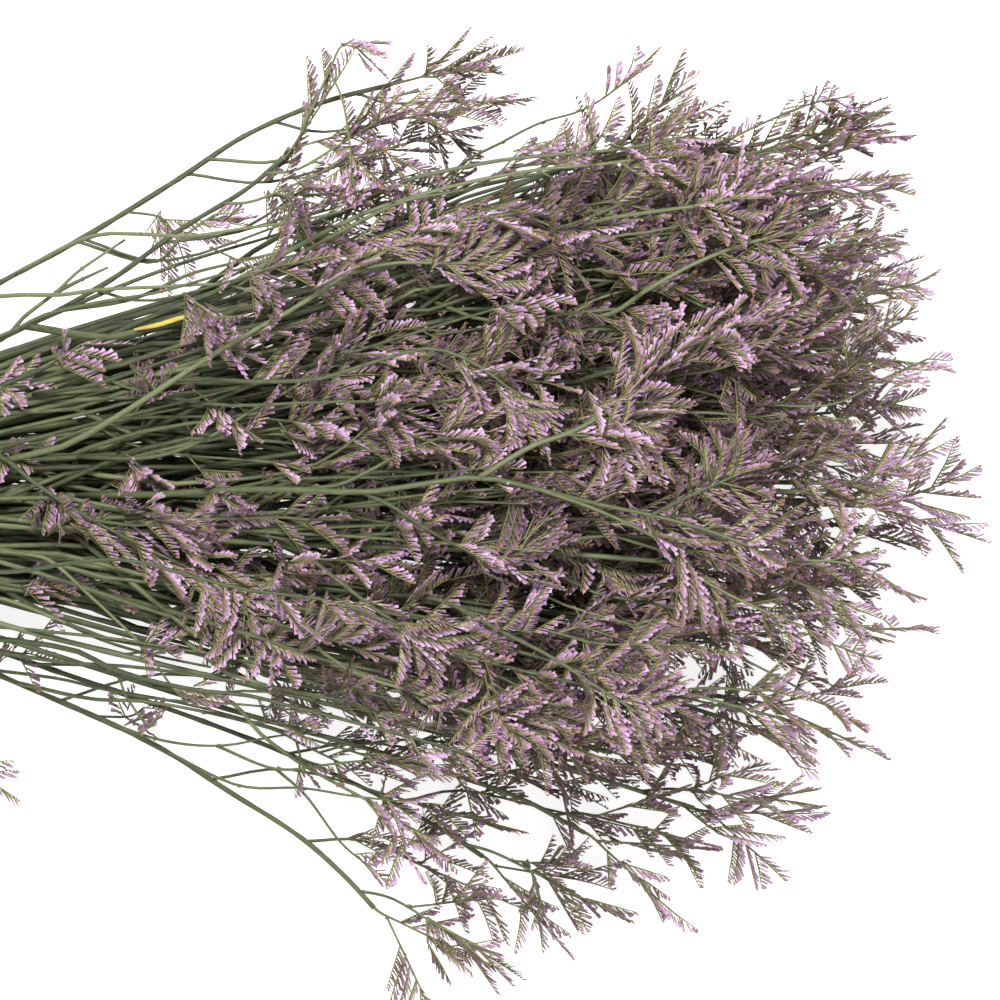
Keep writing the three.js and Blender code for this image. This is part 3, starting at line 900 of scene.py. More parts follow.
@dataclass
class Growth:
    """Everything that grows on one stem.

    Args:
        stem: its route and shoots.
        skeleton: the rules of the whole bunch.
        rng: where its draws come from.
        clearings: (n, 4) x, y, half length and half width of hollows left open.
        twigs: for each kind, its lines, end radii and tints.
        fans: its fingers.
        nodes: places and ways of its small scales.
        mood: the draw of colour that a branch's fans share.
        finger: the length of a finger, least and most.
        finger_angle: degrees between a stalk and its fingers.
        scale_size: length and radius of a scale.
        stem_radii: at the cut end and the tip.
        finger_stalk: radii of its own stalk at root, middle and tip.
        outer_sprays: on an outer stem, x of the first spray and the step between them.
        own_sprays: the same on the others.
        blooms_over: x of the first sprays, and where all stand.
        least_bloom: the share of sprays before that.
        thins_over: where sprays grow fewer again.
        thinnest: the share of them past it.
        sparse_under: a height, and the share of sprays below it.
        clearing_floor: the height from which hollows are open.
        bare: length and width of a strip beneath the head with no spray of an outer stem.
        spray_edge: (x, y) pairs of the head's upper side.
        ceiling: the greatest height of a finger's end.
        tip_lift: the least height of a tip.
        one_sided: the share of fans that are combs.
        tries: how often a spray or side branch is drawn for room.
        spray_leaves_at: degrees between a stalk and a spray.
        forks_from: where side branches start to leave long ones.
        fork_pitch: between them.
        fork_lengths: of the first and the last.
        fork_bend: the share of its length where one bends forwards.
        fork_angles: degrees at which one leaves and ends, least and most.
        long_radii: of a long branch, at root and end.
        long_branches: how many a stem has.
        long_starts: x where one leaves the stem.
        long_drifts: how far from the stem one ends, at the first try and the second.
        drift_power: how they part from the stem.
        early_stalk: x from an early spray's root to its fan.
        early_mood: the greatest mood of an early spray.
        top_mood: the same for a branch on top, kept low as painted light, so that its fans take lighter
            colours.
        slim: the radius up to which one has no side fans.
    """

    stem: Stem
    skeleton: Skeleton
    rng: np.random.Generator
    clearings: Array
    twigs: dict[Twig, list[tuple]] = field(default_factory=lambda: {kind: [] for kind in Twig})
    fans: list[Fingers] = field(default_factory=list)
    nodes: list[tuple[Array, Array]] = field(default_factory=list)
    mood: float = 0.5
    finger: Pair = (15, 29)
    finger_angle: float = 47
    scale_size: Pair = (2.6, 0.55)
    stem_radii: Pair = (1.42, 0.85)
    finger_stalk: tuple = (0.42, 0.36, 0.14)
    outer_sprays: Pair = (248, 46)
    own_sprays: Pair = (240, 24)
    blooms_over: Pair = (215, 430)
    least_bloom: float = 0.03
    thins_over: Pair = (415, 480)
    thinnest: float = 0.14
    sparse_under: Pair = (70, 0.55)
    clearing_floor: float = 62
    bare: Pair = (345, 24)
    spray_edge: tuple = ((220, 96), (250, 98), (356, 118), (376, 126), (392, 140), (412, 155),
                         (600, 158))
    ceiling: float = 166
    tip_lift: float = 2.5
    one_sided: float = 0.5
    tries: int = 5
    spray_leaves_at: Pair = (38, 68)
    forks_from: float = 112
    fork_pitch: float = 40
    fork_lengths: Pair = (235, 34)
    fork_bend: float = 0.36
    fork_angles: tuple[Pair, Pair] = ((22, 3), (42, 24))
    long_radii: Pair = (1.3, 0.62)
    long_branches: int = 6
    long_starts: Pair = (14, 110)
    long_drifts: tuple[Pair, Pair] = ((16, 70), (6, 24))
    drift_power: float = 1.3
    early_stalk: float = 26
    early_mood: float = 0.6
    top_mood: float = 0.55
    slim: float = 0.7

    def twig(self, kind: Twig, points: Sequence[Array], start: float, stop: float) -> None:
        """Adds a stalk through a few points, between two radii."""
        line = points if len(points) == kind.value[0] else bent(np.array(points), kind.value[0])
        self.twigs[kind].append((line, start, stop, self.rng.random()))

    def add_fingers(self, root: Array, ahead: Array, facing: Array, length: Array,
                    tint: float) -> None:
        """Adds fingers, turned where they would dip under the surface or rise over the ceiling.

        Args:
            root: (n, 3) where they start.
            ahead: (n, 3) the ways they point.
            facing: (n, 3) the sides that their florets should stand on.
            length: (n,) their lengths.
            tint: the draw of colour that the fan shares.
        """
        n = len(root)
        ahead = ahead.copy()
        ahead[:, 2] = np.clip(ahead[:, 2], (1.5 - root[:, 2]) / length,
                              (self.ceiling - root[:, 2]) / length)
        ahead = unit(ahead)
        side = squared_off(facing, ahead)
        tints = np.clip(tint + self.rng.normal(0, 0.14, n), 0, 1)
        hook = self.rng.uniform(-0.08, 0.2, n)
        self.fans.append(Fingers(root, ahead, side, length, tints, hook))

    def blooms(self, place: Array) -> bool:
        """Whether a spray that could stand at a place does: ever more of them do towards the head, fewer
        at its blunt end, and none high up in a clearing.

        Args:
            place: where it would.

        Returns:
            Whether it does.
        """
        x, y, z = place
        share = max(np.interp(x, self.blooms_over, (0, 1)), self.least_bloom)
        share *= np.interp(x, self.thins_over, (1, self.thinnest))
        share *= self.sparse_under[1] if z < self.sparse_under[0] else 1
        mid_x, mid_y, long, wide = self.clearings.T
        hollow = ((x - mid_x) / long) ** 2 + ((y - mid_y) / wide) ** 2 < 1
        return self.rng.random() < share and not (z > self.clearing_floor and hollow.any())

    def has_room(self, tip: Array) -> bool:
        """Whether a spray has room: inside the head's outline, or for an outer stem outside the bare
        strip beneath the head, and over the surface.

        Args:
            tip: where it would end.

        Returns:
            Whether it may.
        """
        if tip[2] < self.tip_lift:
            return False
        if self.stem.inner is None:
            return bool(self.skeleton.inside(tip[None])[0]
                        and tip[1] < along(self.spray_edge, tip[0]))
        edge = along(self.skeleton.lower_edge, tip[0])
        return not (tip[0] < self.bare[0] and edge - self.bare[1] < tip[1] < edge + 6)

    def early(self, place: Array, count: int) -> None:
        """A small spray on the bare part of the stem: a stalk that leaves it some way before, bends
        forwards and ends in a fan over the other stems, with a smaller fan at its side.

        Args:
            place: the middle of the fan, as x and y.
            count: of fingers.
        """
        rng = self.rng
        self.mood = rng.random() * self.early_mood
        root, after = self.stem.run(place[0] - self.early_stalk + np.array([0.0, 2.0]))
        end = np.array([place[0] - 6, place[1], root[2] + rng.uniform(7, 12)])
        middle = (root + end) / 2 + (after - root) * 2 + UP
        self.twig(Twig.BRANCH, [root, middle, end], 0.6, 0.4)
        self.nodes.append((root, unit(middle - root)))
        ahead = unit(end - middle)
        self.fan(end, ahead, count, rng.uniform(*self.finger))
        back = (root + 2 * end) / 3 + UP
        aside = unit(np.cross(UP, ahead)) * (1 if rng.random() < 0.5 else -1)
        self.fan(back, unit(ahead + aside), 3, self.finger[0])

    def over(self, bends: Array, radius: float, count: int, reach: float) -> None:
        """A branch that lies over the others and ends in a few fans, or is cut off.

        Args:
            bends: (n, 3) points that it passes.
            radius: at its root.
            count: of fingers in its last fan, or 0 where it is cut off.
            reach: the length of a finger.
        """
        rng = self.rng
        # Painted light on top: fans of a branch on top draw only the lighter colours.
        self.mood = rng.random() * self.top_mood
        line = bent(bends, Twig.LONG.value[0])
        self.twig(Twig.LONG, line, radius, max(radius * 0.5, 0.4))
        for bend, after in zip(bends[1:-1], bends[2:]):
            self.nodes.append((bend, unit(after - bend)))
        if not count:
            return
        ahead = unit(line[-1] - line[-2])
        self.fan(line[-1], ahead, count, reach)
        aside = unit(np.cross(UP, ahead)) * rng.choice([-1, 1])
        for k in range(count // 2 if radius > self.slim else 0):
            i = -3 - 2 * k
            aside = -aside
            out = unit(ahead + aside * rng.uniform(0.7, 1.1) + UP * rng.uniform(-0.1, 0.3))
            end = line[i] + out * rng.uniform(6, 12)
            self.twig(Twig.SHORT, [line[i], (line[i] + end) / 2, end], 0.55, 0.42)
            self.fan(end, unit(out + ahead * 0.6), count - 1, reach * 0.85)

    def fan(self, root: Array, ahead: Array, count: int, reach: float) -> None:
        """A hand of fingers: the first runs on from the stalk's end, and the others leave it before
        that in a plane drawn at random, on both sides in turn or all on one side like a comb. Their
        florets all face the way that the stalk runs.

        Args:
            root: the end of the stalk.
            ahead: the way it runs.
            count: of fingers.
            reach: the length of a finger.
        """
        rng = self.rng
        across = squared_off(rng.normal(0, 1, 3) + np.array([0, 1.1, 0]), ahead)
        k = np.arange(count)
        kind = COMB if rng.random() < self.one_sided else HAND
        spread = rng.normal(self.finger_angle, kind.varies, count)
        angle = np.radians(np.where(k, spread, kind.first))
        turns = np.where((k % 2 == 1) | (kind is COMB), 1, -1)
        aside = np.sin(angle) * turns * rng.choice([-1, 1])
        ways = ahead * np.cos(angle)[:, None] + across * aside[:, None]
        ways = unit(ways + np.cross(ahead, across) * rng.normal(0, 0.18, count)[:, None])
        roots = root - ahead * (k * rng.uniform(*kind.steps))[:, None]
        length = reach * rng.uniform(0.72, 1.15, count) * np.where(k, 1, 0.8)
        facing = ahead + rng.normal(0, 0.26, (count, 3))
        self.add_fingers(roots, ways, facing, length, self.mood)

    def spray(self, root: Array, ahead: Array, aside: Array, length: float) -> None:
        """A branchlet that leaves a stalk, bends forwards and ends in a fan. Its side is drawn again
        where it would leave the head's outline.

        Args:
            root: where it leaves.
            ahead: the way that the stalk runs there.
            aside: the side that it leaves on.
            length: of the branchlet.
        """
        rng = self.rng
        count, reach = rng.integers(3, 6), rng.uniform(*self.finger)
        for _ in range(self.tries):
            leaves = math.radians(rng.uniform(*self.spray_leaves_at))
            side = squared_off(aside + rng.normal(0, 0.3, 3), ahead)
            out = ahead * math.cos(leaves) + side * math.sin(leaves)
            ends = unit(out + ahead * rng.uniform(-0.1, 0.6))
            end = root + (out + ends) * length / 2
            if end[2] > self.tip_lift and self.has_room(end + ends * reach):
                self.twig(Twig.SHORT, [root, root + out * length / 2, end], 0.55, 0.4)
                self.nodes.append((root, out))
                self.fan(end, ends, count, reach)
                return
            aside = rng.normal(0, 1, 3)

    def fork(self, root: Array, ahead: Array, aside: Array, length: float) -> None:
        """A side branch that leaves at an angle and bends forwards. It carries sprays on both sides of
        its outer part in turn, and ends in a fan. Where it would leave the head's outline it is drawn
        again, shorter.

        Args:
            root: where it leaves.
            ahead: the way that the branch before it runs there.
            aside: the side that it leaves on.
            length: of its stalk.
        """
        rng = self.rng
        count = Twig.BRANCH.value[0]
        for _ in range(self.tries):
            leaves, ends = np.radians(rng.uniform(*self.fork_angles))
            side = squared_off(aside + rng.normal(0, 0.3, 3), ahead)
            near, far = length * self.fork_bend, length * (1 - self.fork_bend)
            bend = root + (ahead * math.cos(leaves) + side * math.sin(leaves)) * near
            end = bend + (ahead * math.cos(ends) + side * math.sin(ends)) * far
            line = bent(np.array([root, bend, (bend + end) / 2 + rng.normal(0, 1, 3), end]), count)
            tip = unit(line[-1] - line[-2])
            if line[:, 2].min() > 1.5 and self.has_room(end + tip * self.finger[1]):
                break
            length *= 0.8
        else:
            return
        if not self.blooms(end):
            return
        self.mood = rng.random()
        self.twig(Twig.BRANCH, line, 0.6 + length * 0.003, 0.46)
        self.nodes.append((root, unit(bend - root)))
        self.fan(end, tip, rng.integers(4, 7), rng.uniform(*self.finger))
        aside = np.cross(ahead, side)
        for share in np.arange(1 - 10 / length, 0.44, -16 / length):
            i = int(share * (count - 1))
            place = between(line[i : i + 2], share * (count - 1) - i)
            aside = -aside + rng.normal(0, 0.4, 3)
            if self.blooms(place):
                self.spray(place, unit(line[i + 1] - line[i]), aside, rng.uniform(6, 15))

    def cluster(self, shoot: Shoot, spike: Spike) -> None:
        """A flower spike: a stalk along its axis, fingers that leave it towards the spike's side at
        angles that shrink towards the tip, and one finger that runs on to the tip.

        Args:
            shoot: the plane.
            spike: its root, angle, side and length.
        """
        rng, count = self.rng, 5
        plane, normal = shoot.place[1:3], shoot.place[3]
        ahead = unit(way(spike.angle) @ plane)
        out = unit(way(spike.angle + 90) * spike.side @ plane)
        root = shoot.lifted(spike.root)[0]
        share = np.arange(count) / count * 0.56 + rng.uniform(0, 0.06, count)
        angle = np.radians(between((50, 30), share / 0.6) + rng.normal(0, 4, count))[:, None]
        roll = np.radians(rng.uniform(-62, 62, count))[:, None]
        roll[rng.random(count) < 0.25] += math.pi
        angle = np.where(np.cos(roll) < 0, angle * 0.6, angle)
        ways = ahead * np.cos(angle) + (out * np.cos(roll) + normal * np.sin(roll)) * np.sin(angle)
        roots = root + ahead * (share * spike.length)[:, None]
        lengths = rng.uniform(*self.finger, count) * between((1, 0.84), share / 0.6)
        ending = root + ahead * spike.length * 0.56
        roots = np.vstack([roots, ending])
        ways = np.vstack([unit(ways), ahead])
        lengths = np.append(lengths, spike.length * 0.44)
        facing = ahead + rng.normal(0, 0.28, (count + 1, 3))
        self.add_fingers(roots, ways, facing, lengths, self.mood)
        middle = root + ahead * spike.length * 0.28 + normal * rng.normal(0, 0.8)
        self.twig(Twig.SHORT, [root, middle, ending], 0.5, 0.34)

    def shoot(self, shoot: Shoot) -> None:
        """A forked shoot: its stalk, the stalk of its second spike, both spikes, and sprays between.

        Args:
            shoot: from the bunch's rule.
        """
        rng = self.rng
        own, other = shoot.spikes
        root, bend, end, fork, beside = shoot.lifted(
            np.array([[0, 0], shoot.bend, own.root, shoot.fork, other.root]))
        start = self.stem.run(np.array([min(root[0], self.stem.points[-1, 0])]))[0]
        line = bent(np.array([start, bend, end]), Twig.BRANCH.value[0])
        self.twig(Twig.BRANCH, line, 0.72, 0.5)
        self.twig(Twig.SHORT, [fork, (fork + beside) / 2, beside], 0.5, 0.42)
        self.nodes.append((start, unit(bend - start)))
        self.nodes.append((fork, unit(beside - fork)))
        self.mood = rng.uniform(0.45 if self.stem.inner is not None and root[1] > 0 else 0, 1)
        for spike in shoot.spikes:
            self.cluster(shoot, spike)
        length = np.linalg.norm(end - start)
        if length < 30:
            return
        aside = shoot.place[3]
        last = int(length / 23)
        for k in range(last + 1):
            share = 0.36 + 0.56 * k / last + rng.normal(0, 0.03)
            i = int(np.clip(share * (len(line) - 1), 1, len(line) - 2))
            aside = -aside + rng.normal(0, 0.4, 3)
            if self.blooms(line[i]):
                self.spray(line[i], unit(line[i + 1] - line[i - 1]), aside, rng.uniform(7, 15))

    def long_branch(self, first: float, last: float, wide: float, turn: float) -> bool:
        """A long branch that leaves the stem early and drifts away from it: the stem's own line, plus
        a distance that grows as a power of s, on one side of the stem. It bends away from each side
        branch, so that it runs in a faint zigzag.

        Args:
            first: where it leaves, along the bunch.
            last: where it ends.
            wide: how far from the stem it ends.
            turn: the side, in radians from +Y towards +Z.

        Returns:
            Whether it stays inside the head's outline, and so was added.
        """
        rng = self.rng
        count = Twig.LONG.value[0]
        s = np.linspace(0, 1, count)
        line = self.stem.run(first + (last - first) * s)
        place = shoot_place(line[0], unit(line[-1] - line[0]), turn)
        line = line + place[2] * (wide * s**self.drift_power)[:, None]
        starts = np.arange(self.forks_from + rng.uniform(0, self.fork_pitch), last - 12,
                           self.fork_pitch)
        starts = starts + rng.uniform(-0.3, 0.3, len(starts)) * self.fork_pitch
        knots = np.round((starts - first) / (last - first) * (count - 1)).astype(int)
        knots = np.unique(np.clip(knots, 2, count - 2))
        zigzag = np.where(np.arange(len(knots)) % 2, 1, -1) * rng.uniform(1.5, 4, len(knots))
        aside = unit(place[3] * rng.choice([-1, 1]) + place[2] * rng.normal(0, 0.6))
        shifts = np.interp(np.arange(count), np.append(0, knots), np.append(0, zigzag))
        line = line + aside * shifts[:, None]
        line[:, 2] = np.maximum(line[:, 2], 0.9)
        shy = line[6:] * np.array([1, 1.08, 1])
        if not self.skeleton.inside(shy).all():
            return False
        self.twig(Twig.LONG, line, *self.long_radii)
        self.nodes.append((line[0], unit(line[2] - line[0])))
        ahead = unit(line[-1] - line[-2])
        self.mood = rng.random()
        if self.has_room(line[-1] + ahead * 20):
            self.fan(line[-1], ahead, rng.integers(5, 7), rng.uniform(*self.finger))
        for i, way_out in zip(knots, zigzag):
            ahead = unit(line[i + 1] - line[i - 1])
            share = (line[i][0] - self.forks_from) / (last - self.forks_from)
            length = between(self.fork_lengths, np.clip(share, 0, 1)) * rng.uniform(0.75, 1.2)
            self.fork(line[i], ahead, aside * np.sign(way_out), length)
        return True

    def main_sprays(self, first: float, pitch: float) -> None:
        """Sprays that leave the stem itself, on alternate sides.

        Args:
            first: x of the first.
            pitch: between them, before a draw is added.
        """
        rng = self.rng
        aside = rng.normal(0, 1, 3)
        for x in np.arange(first, self.stem.points[-1, 0] - 8, pitch):
            x = x + rng.uniform(0, pitch * 0.6)
            aside = -aside + rng.normal(0, 0.5, 3)
            points = self.stem.run(np.array([x, x + 1]))
            if self.blooms(points[0]):
                ahead = unit(points[1] - points[0])
                self.spray(points[0], ahead, aside, rng.uniform(10, 24))

    def grow(self) -> None:
        """All of it: the shoots of the bunch's rule first, then the finer ones."""
        rng = self.rng
        for shoot in self.stem.shoots:
            self.shoot(shoot)
        tip = self.stem.points[-1, 0]
        if self.stem.inner is not None:
            self.main_sprays(*self.outer_sprays)
            return
        for k in range(self.long_branches):
            last = tip + 12 - 130 * rng.random() ** 2
            turn = k * math.pi + rng.normal(0, 0.7)
            for wide in [rng.uniform(*drift) for drift in self.long_drifts]:
                if self.long_branch(rng.uniform(*self.long_starts), last, wide, turn):
                    break
        self.main_sprays(*self.own_sprays)

    def stalks(self, shade: Callable[[Array], Array]) -> Surface:
        """The stem, its stalks and the fingers' own thin stalks. The full shade takes 0.7 of a tint, as
        painted shade on stalks deep in the head, and the stem is thicker at its knots by a bell curve.

        Args:
            shade: how deep points lie, from 0 to 1.

        Returns:
            All of them as one surface.
        """
        stem, rng = self.stem, self.rng
        cut, tip = stem.points[0, 0] + rng.uniform(0, 3), stem.points[-1, 0]
        xs = np.linspace(cut, tip, 108)
        line = stem.run(xs)
        share = (xs - cut) / (tip - cut)
        radii = between(self.stem_radii, share)
        leaves = np.array([root[0] for root, _ in self.nodes])
        knots = np.exp(-(((xs[:, None] - leaves) / 2.6) ** 2)).sum(1)
        radii = radii * (1 + 0.22 * np.clip(knots, 0, 1))
        # Painted shade: stalks deep in the head get a lower tint, and so the dark colour.
        tint = rng.random() * (1 - 0.7 * shade(line))
        parts = [tubes(line[None], radii[None], 7, self.named(tint[None], 0))]
        for kind, found in self.twigs.items():
            if not found:
                continue
            count, sides, ripe = kind.value
            lines = np.stack([item[0] for item in found])
            ends = np.array([item[1:3] for item in found])
            sizes = between(ends.T[:, :, None], np.linspace(0, 1, count))
            tint = np.array([item[3] for item in found])[:, None]
            # Painted shade again, ring by ring along the twigs.
            tint = tint * (1 - 0.7 * shade(lines.reshape(-1, 3)).reshape(lines.shape[:2]))
            parts.append(tubes(lines, sizes, sides, self.named(tint, ripe)))
        fingers = Fingers.joined(self.fans)
        count = len(fingers.length)
        steps = np.array([0, 0.5, 1])
        which = np.repeat(np.arange(count), len(steps))
        lines = fingers.at(which, np.tile(steps, count))[0].reshape(count, len(steps), 3)
        sizes = np.broadcast_to(self.finger_stalk, (count, len(steps)))
        tint = np.repeat(fingers.tint[:, None], len(steps), 1)
        parts.append(tubes(lines, sizes, 3, self.named(tint, 0.75)))
        return Surface.joined(parts)

    def scales(self) -> Surface:
        """The small pointed scales where stalks leave: a pole, a ring and a pole.

        Returns:
            All of them as one surface.
        """
        rng = self.rng
        roots = np.array([root for root, _ in self.nodes])
        ways = unit(np.array([out for _, out in self.nodes]) + rng.normal(0, 0.15, (len(roots), 3)))
        first = squared_off(rng.normal(0, 1, ways.shape), ways)
        second = np.cross(ways, first)
        turn = (np.arange(4) / 4 * 2 * math.pi)[None, :, None]
        length, radius = self.scale_size
        spin = first[:, None] * np.cos(turn) + second[:, None] * np.sin(turn) * 0.5
        middle = roots + ways * length * 0.35
        circles = (middle[:, None] + spin * radius * 2)[:, None]
        poles = np.stack([roots - ways * 0.3, roots + ways * length], axis=1)
        tint = np.repeat(rng.random(len(roots))[:, None], 3, 1)
        return rings(circles, poles, self.named(tint, 1.0))

    @staticmethod
    def named(tint: Array, ripe: float) -> dict[str, Array]:
        """The named numbers of a stalk: its tint, and how far it has turned from green to tan."""
        return {"tint": tint, "ripe": np.full(tint.shape, ripe)}


# ---- finishes


class Value:
    """A number of a shader, with arithmetic.

    Args:
        graph: the material's nodes.
        socket: the output that carries the number.
    """

    def __init__(self, graph: "Graph", socket: bpy.types.NodeSocket) -> None:
        """Wraps an output socket."""
        self.graph, self.socket = graph, socket

    def _with(self, operation: str, *terms: "Value | float") -> "Value":
        """A Math node over the terms."""
        inputs = dict(enumerate(terms))
        return self.graph.node("ShaderNodeMath", {"operation": operation, "use_clamp": False}, inputs)

    def __add__(self, other: "Value | float") -> "Value":
        """Sum."""
        return self._with("ADD", self, other)

    def __mul__(self, other: "Value | float") -> "Value":
        """Product."""
        return self._with("MULTIPLY", self, other)

    def __sub__(self, other: "Value | float") -> "Value":
        """Difference."""
        return self._with("SUBTRACT", self, other)

    def __rsub__(self, other: "Value | float") -> "Value":
        """Difference from a number."""
        return self._with("SUBTRACT", other, self)

    __radd__ = __add__
    __rmul__ = __mul__

    def clipped(self) -> "Value":
        """The number held between 0 and 1."""
        return self._with("MINIMUM", self._with("MAXIMUM", self, 0.0), 1.0)


class Graph:
    """The nodes of one material.

    Args:
        name: of the material.
    """

    def __init__(self, name: str) -> None:
        """Makes the material with its shader and output."""
        self.material = bpy.data.materials.new(name)
        self.material.use_nodes = True
        self.tree = self.material.node_tree
        self.shader = self.tree.nodes["Principled BSDF"]

    def node(self, kind: str, settings: dict, inputs: dict, output: int | str = 0) -> Value:
        """Any node.

        Args:
            kind: its type.
            settings: its options, set first; a list of (place, colour) pairs for "stops" fills a ramp.
            inputs: values or links of its sockets, by name or number.
            output: which socket it is used by.

        Returns:
            The output.
        """
        made = self.tree.nodes.new(kind)
        for name, setting in settings.items():
            if name == "stops":
                ramp = made.color_ramp
                while len(ramp.elements) < len(setting):
                    ramp.elements.new(0.5)
                for element, (place, colour) in zip(ramp.elements, setting):
                    element.position, element.color = place, (*colour, 1)
            else:
                setattr(made, name, setting)
        for name, value in inputs.items():
            self.put(made.inputs[name], value)
        return Value(self, made.outputs[output])

    def put(self, socket: bpy.types.NodeSocket, value: "Value | float | tuple") -> None:
        """Links or sets one input.

        Args:
            socket: which.
            value: a link, a number, or a colour without its alpha.
        """
        if isinstance(value, Value):
            self.tree.links.new(value.socket, socket)
        else:
            socket.default_value = (*value, 1) if socket.type == "RGBA" else value

    def read(self, name: str) -> Value:
        """A named number of the mesh's points."""
        return self.node("ShaderNodeAttribute", {"attribute_name": name}, {}, "Fac")

    def ramp(self, value: Value, *stops: tuple[float, tuple]) -> Value:
        """Colours along a number."""
        return self.node("ShaderNodeValToRGB", {"stops": stops}, {0: value}, "Color")

    def mix(self, share: Value | float, first: "Value | tuple", second: "Value | tuple") -> Value:
        """The first colour, turned to the second by a share."""
        return self.node("ShaderNodeMix", {"data_type": "RGBA"}, {0: share, 6: first, 7: second}, 2)

    def noise(self, scale: float, detail: float, stretch: tuple = (1, 1, 1)) -> Value:
        """Soft spots over the object's own coordinates.

        Args:
            scale: spots to a metre.
            detail: of the noise.
            stretch: factors on the coordinates.

        Returns:
            The noise, from 0 to 1.
        """
        where = self.node("ShaderNodeTexCoord", {}, {}, "Object")
        placed = self.node("ShaderNodeMapping", {}, {"Vector": where, "Scale": stretch})
        return self.node("ShaderNodeTexNoise", {}, {"Vector": placed, "Scale": scale,
                                                    "Detail": detail, "Roughness": 0.6})

    def finish(self, colour: Value, roughness: "Value | float", height: Value | None = None,
               relief: float = 0) -> bpy.types.Material:
        """Dresses the shader.

        Args:
            colour: the colour.
            roughness: from 0 to 1.
            height: of a relief, from 0 to 1.
            relief: how high that is in metres.

        Returns:
            The material.
        """
        self.put(self.shader.inputs["Base Color"], colour)
        self.put(self.shader.inputs["Roughness"], roughness)
        if height is not None:
            bump = self.node("ShaderNodeBump", {}, {"Height": height, "Distance": relief,
                                                    "Strength": 1.0})
            self.put(self.shader.inputs["Normal"], bump)
        return self.material


@dataclass(frozen=True)
class FloretFinish:
    """Papery mauve cups on tan and green bracts, brown where old, and painted darker deep in the head as
    shade.
    """

    # The foot's dark olive is partly the bract's own colour and partly painted shade in the gaps between
    # florets.
    foot: tuple = (0.085, 0.08, 0.03)
    bract: tuple = (0.36, 0.345, 0.17)
    throat: tuple = (0.31, 0.19, 0.19)
    cup: tuple = (0.475, 0.25, 0.445)
    lip: tuple = (0.57, 0.39, 0.555)
    # Painted shade: the darker colours of florets deep in the head, which some fans also draw at random.
    dark_and_shaded_bract: tuple = (0.095, 0.085, 0.036)
    dark_and_shaded_cup: tuple = (0.125, 0.054, 0.1)
    dark_and_shaded_lip: tuple = (0.19, 0.102, 0.172)
    old: tuple = (0.33, 0.16, 0.10)

    def material(self) -> bpy.types.Material:
        """A ramp from foot to lip, mixed with a darker one by the finger's tint, and turned brown by
        age. The tint holds a draw of colour and painted shade deep in the head, so the darker ramp
        paints shade as well as colouring some fans darker at random.

        Returns:
            The material.
        """
        g = Graph("statice_florets")
        tone, tint, age = g.read("tone"), g.read("tint"), g.read("age")
        spots = g.noise(520, 2)
        place = tone + (spots - 0.5) * 0.16
        colour = g.ramp(place + (0.45 - tint) * 0.4, (0.0, self.foot), (0.34, self.bract),
                        (0.56, self.throat), (0.7, self.cup), (1.0, self.lip))
        # Painted shade: the darker ramp, mixed in by the tint, which is high deep in the head and for some
        # fans at random.
        deep = g.ramp(place, (0.0, self.foot), (0.34, self.dark_and_shaded_bract), (0.62, self.dark_and_shaded_cup),
                      (1.0, self.dark_and_shaded_lip))
        colour = g.mix((tint * 1.9 - 0.8).clipped() * 0.88, colour, deep)
        colour = g.mix((age * 1.15 + (spots - 0.5) * 0.7 - 0.25).clipped(), colour, self.old)
        return g.finish(colour, 0.72 + spots * 0.2)


@dataclass(frozen=True)
class StalkFinish:
    """Dry green stalks that turn olive and tan towards the flowers."""

    # The stalks' own dark green, which also serves as painted shade on stalks deep in the head.
    dark_and_shaded: tuple = (0.048, 0.060, 0.026)
    green: tuple = (0.185, 0.213, 0.098)
    tan: tuple = (0.27, 0.24, 0.11)
    scale: tuple = (0.30, 0.17, 0.08)

    def material(self) -> bpy.types.Material:
        """Fibres run along the stalks, which lie along X.

        Returns:
            The material.
        """
        g = Graph("statice_stalks")
        tint, ripe = g.read("tint"), g.read("ripe")
        fibres = g.noise(900, 2, (0.06, 1, 1))
        spots = g.noise(160, 2)
        # The tint carries painted shade deep in the head, so the dark colour here is partly painted shade.
        share = (tint * 0.8 + fibres * 0.9 - 0.38).clipped()
        colour = g.mix(share, self.dark_and_shaded, self.green)
        colour = g.mix((ripe * 1.1 - 0.25 + (spots - 0.5) * 0.9).clipped() * 0.85, colour, self.tan)
        colour = g.mix((ripe * 8 - 7.2).clipped(), colour, self.scale)
        return g.finish(colour, 0.5 + spots * 0.3)


@dataclass(frozen=True)
class BladeFinish:
    """Yellow dry leaf with brown ends of its fibres."""

    bright: tuple = (0.60, 0.47, 0.08)
    brown: tuple = (0.26, 0.20, 0.06)

    def material(self) -> bpy.types.Material:
        """Fibres run along the leaf, which lies along X.

        Returns:
            The material.
        """
        g = Graph("dry_leaf")
        fibres = g.noise(1100, 3, (0.05, 1, 1))
        spots = g.noise(240, 3)
        colour = g.mix((fibres * 1.2 + spots * 0.8 - 0.72).clipped(), self.bright, self.brown)
        return g.finish(colour, 0.6 + spots * 0.2, fibres, 0.0003)


@dataclass(frozen=True)
class RubberFinish:
    """Tan elastic band, duller and darker in its grooves."""

    bright: tuple = (0.42, 0.23, 0.10)
    dull: tuple = (0.24, 0.13, 0.06)

    def material(self) -> bpy.types.Material:
        """Fine lines run round the band.

        Returns:
            The material.
        """
        g = Graph("elastic_band")
        lines = g.noise(700, 3, (1, 0.08, 0.08))
        spots = g.noise(120, 4)
        colour = g.mix((lines * 0.8 + spots * 0.6 - 0.3).clipped(), self.dull, self.bright)
        return g.finish(colour, 0.45 + spots * 0.3, lines, 0.0003)


# ---- pieces


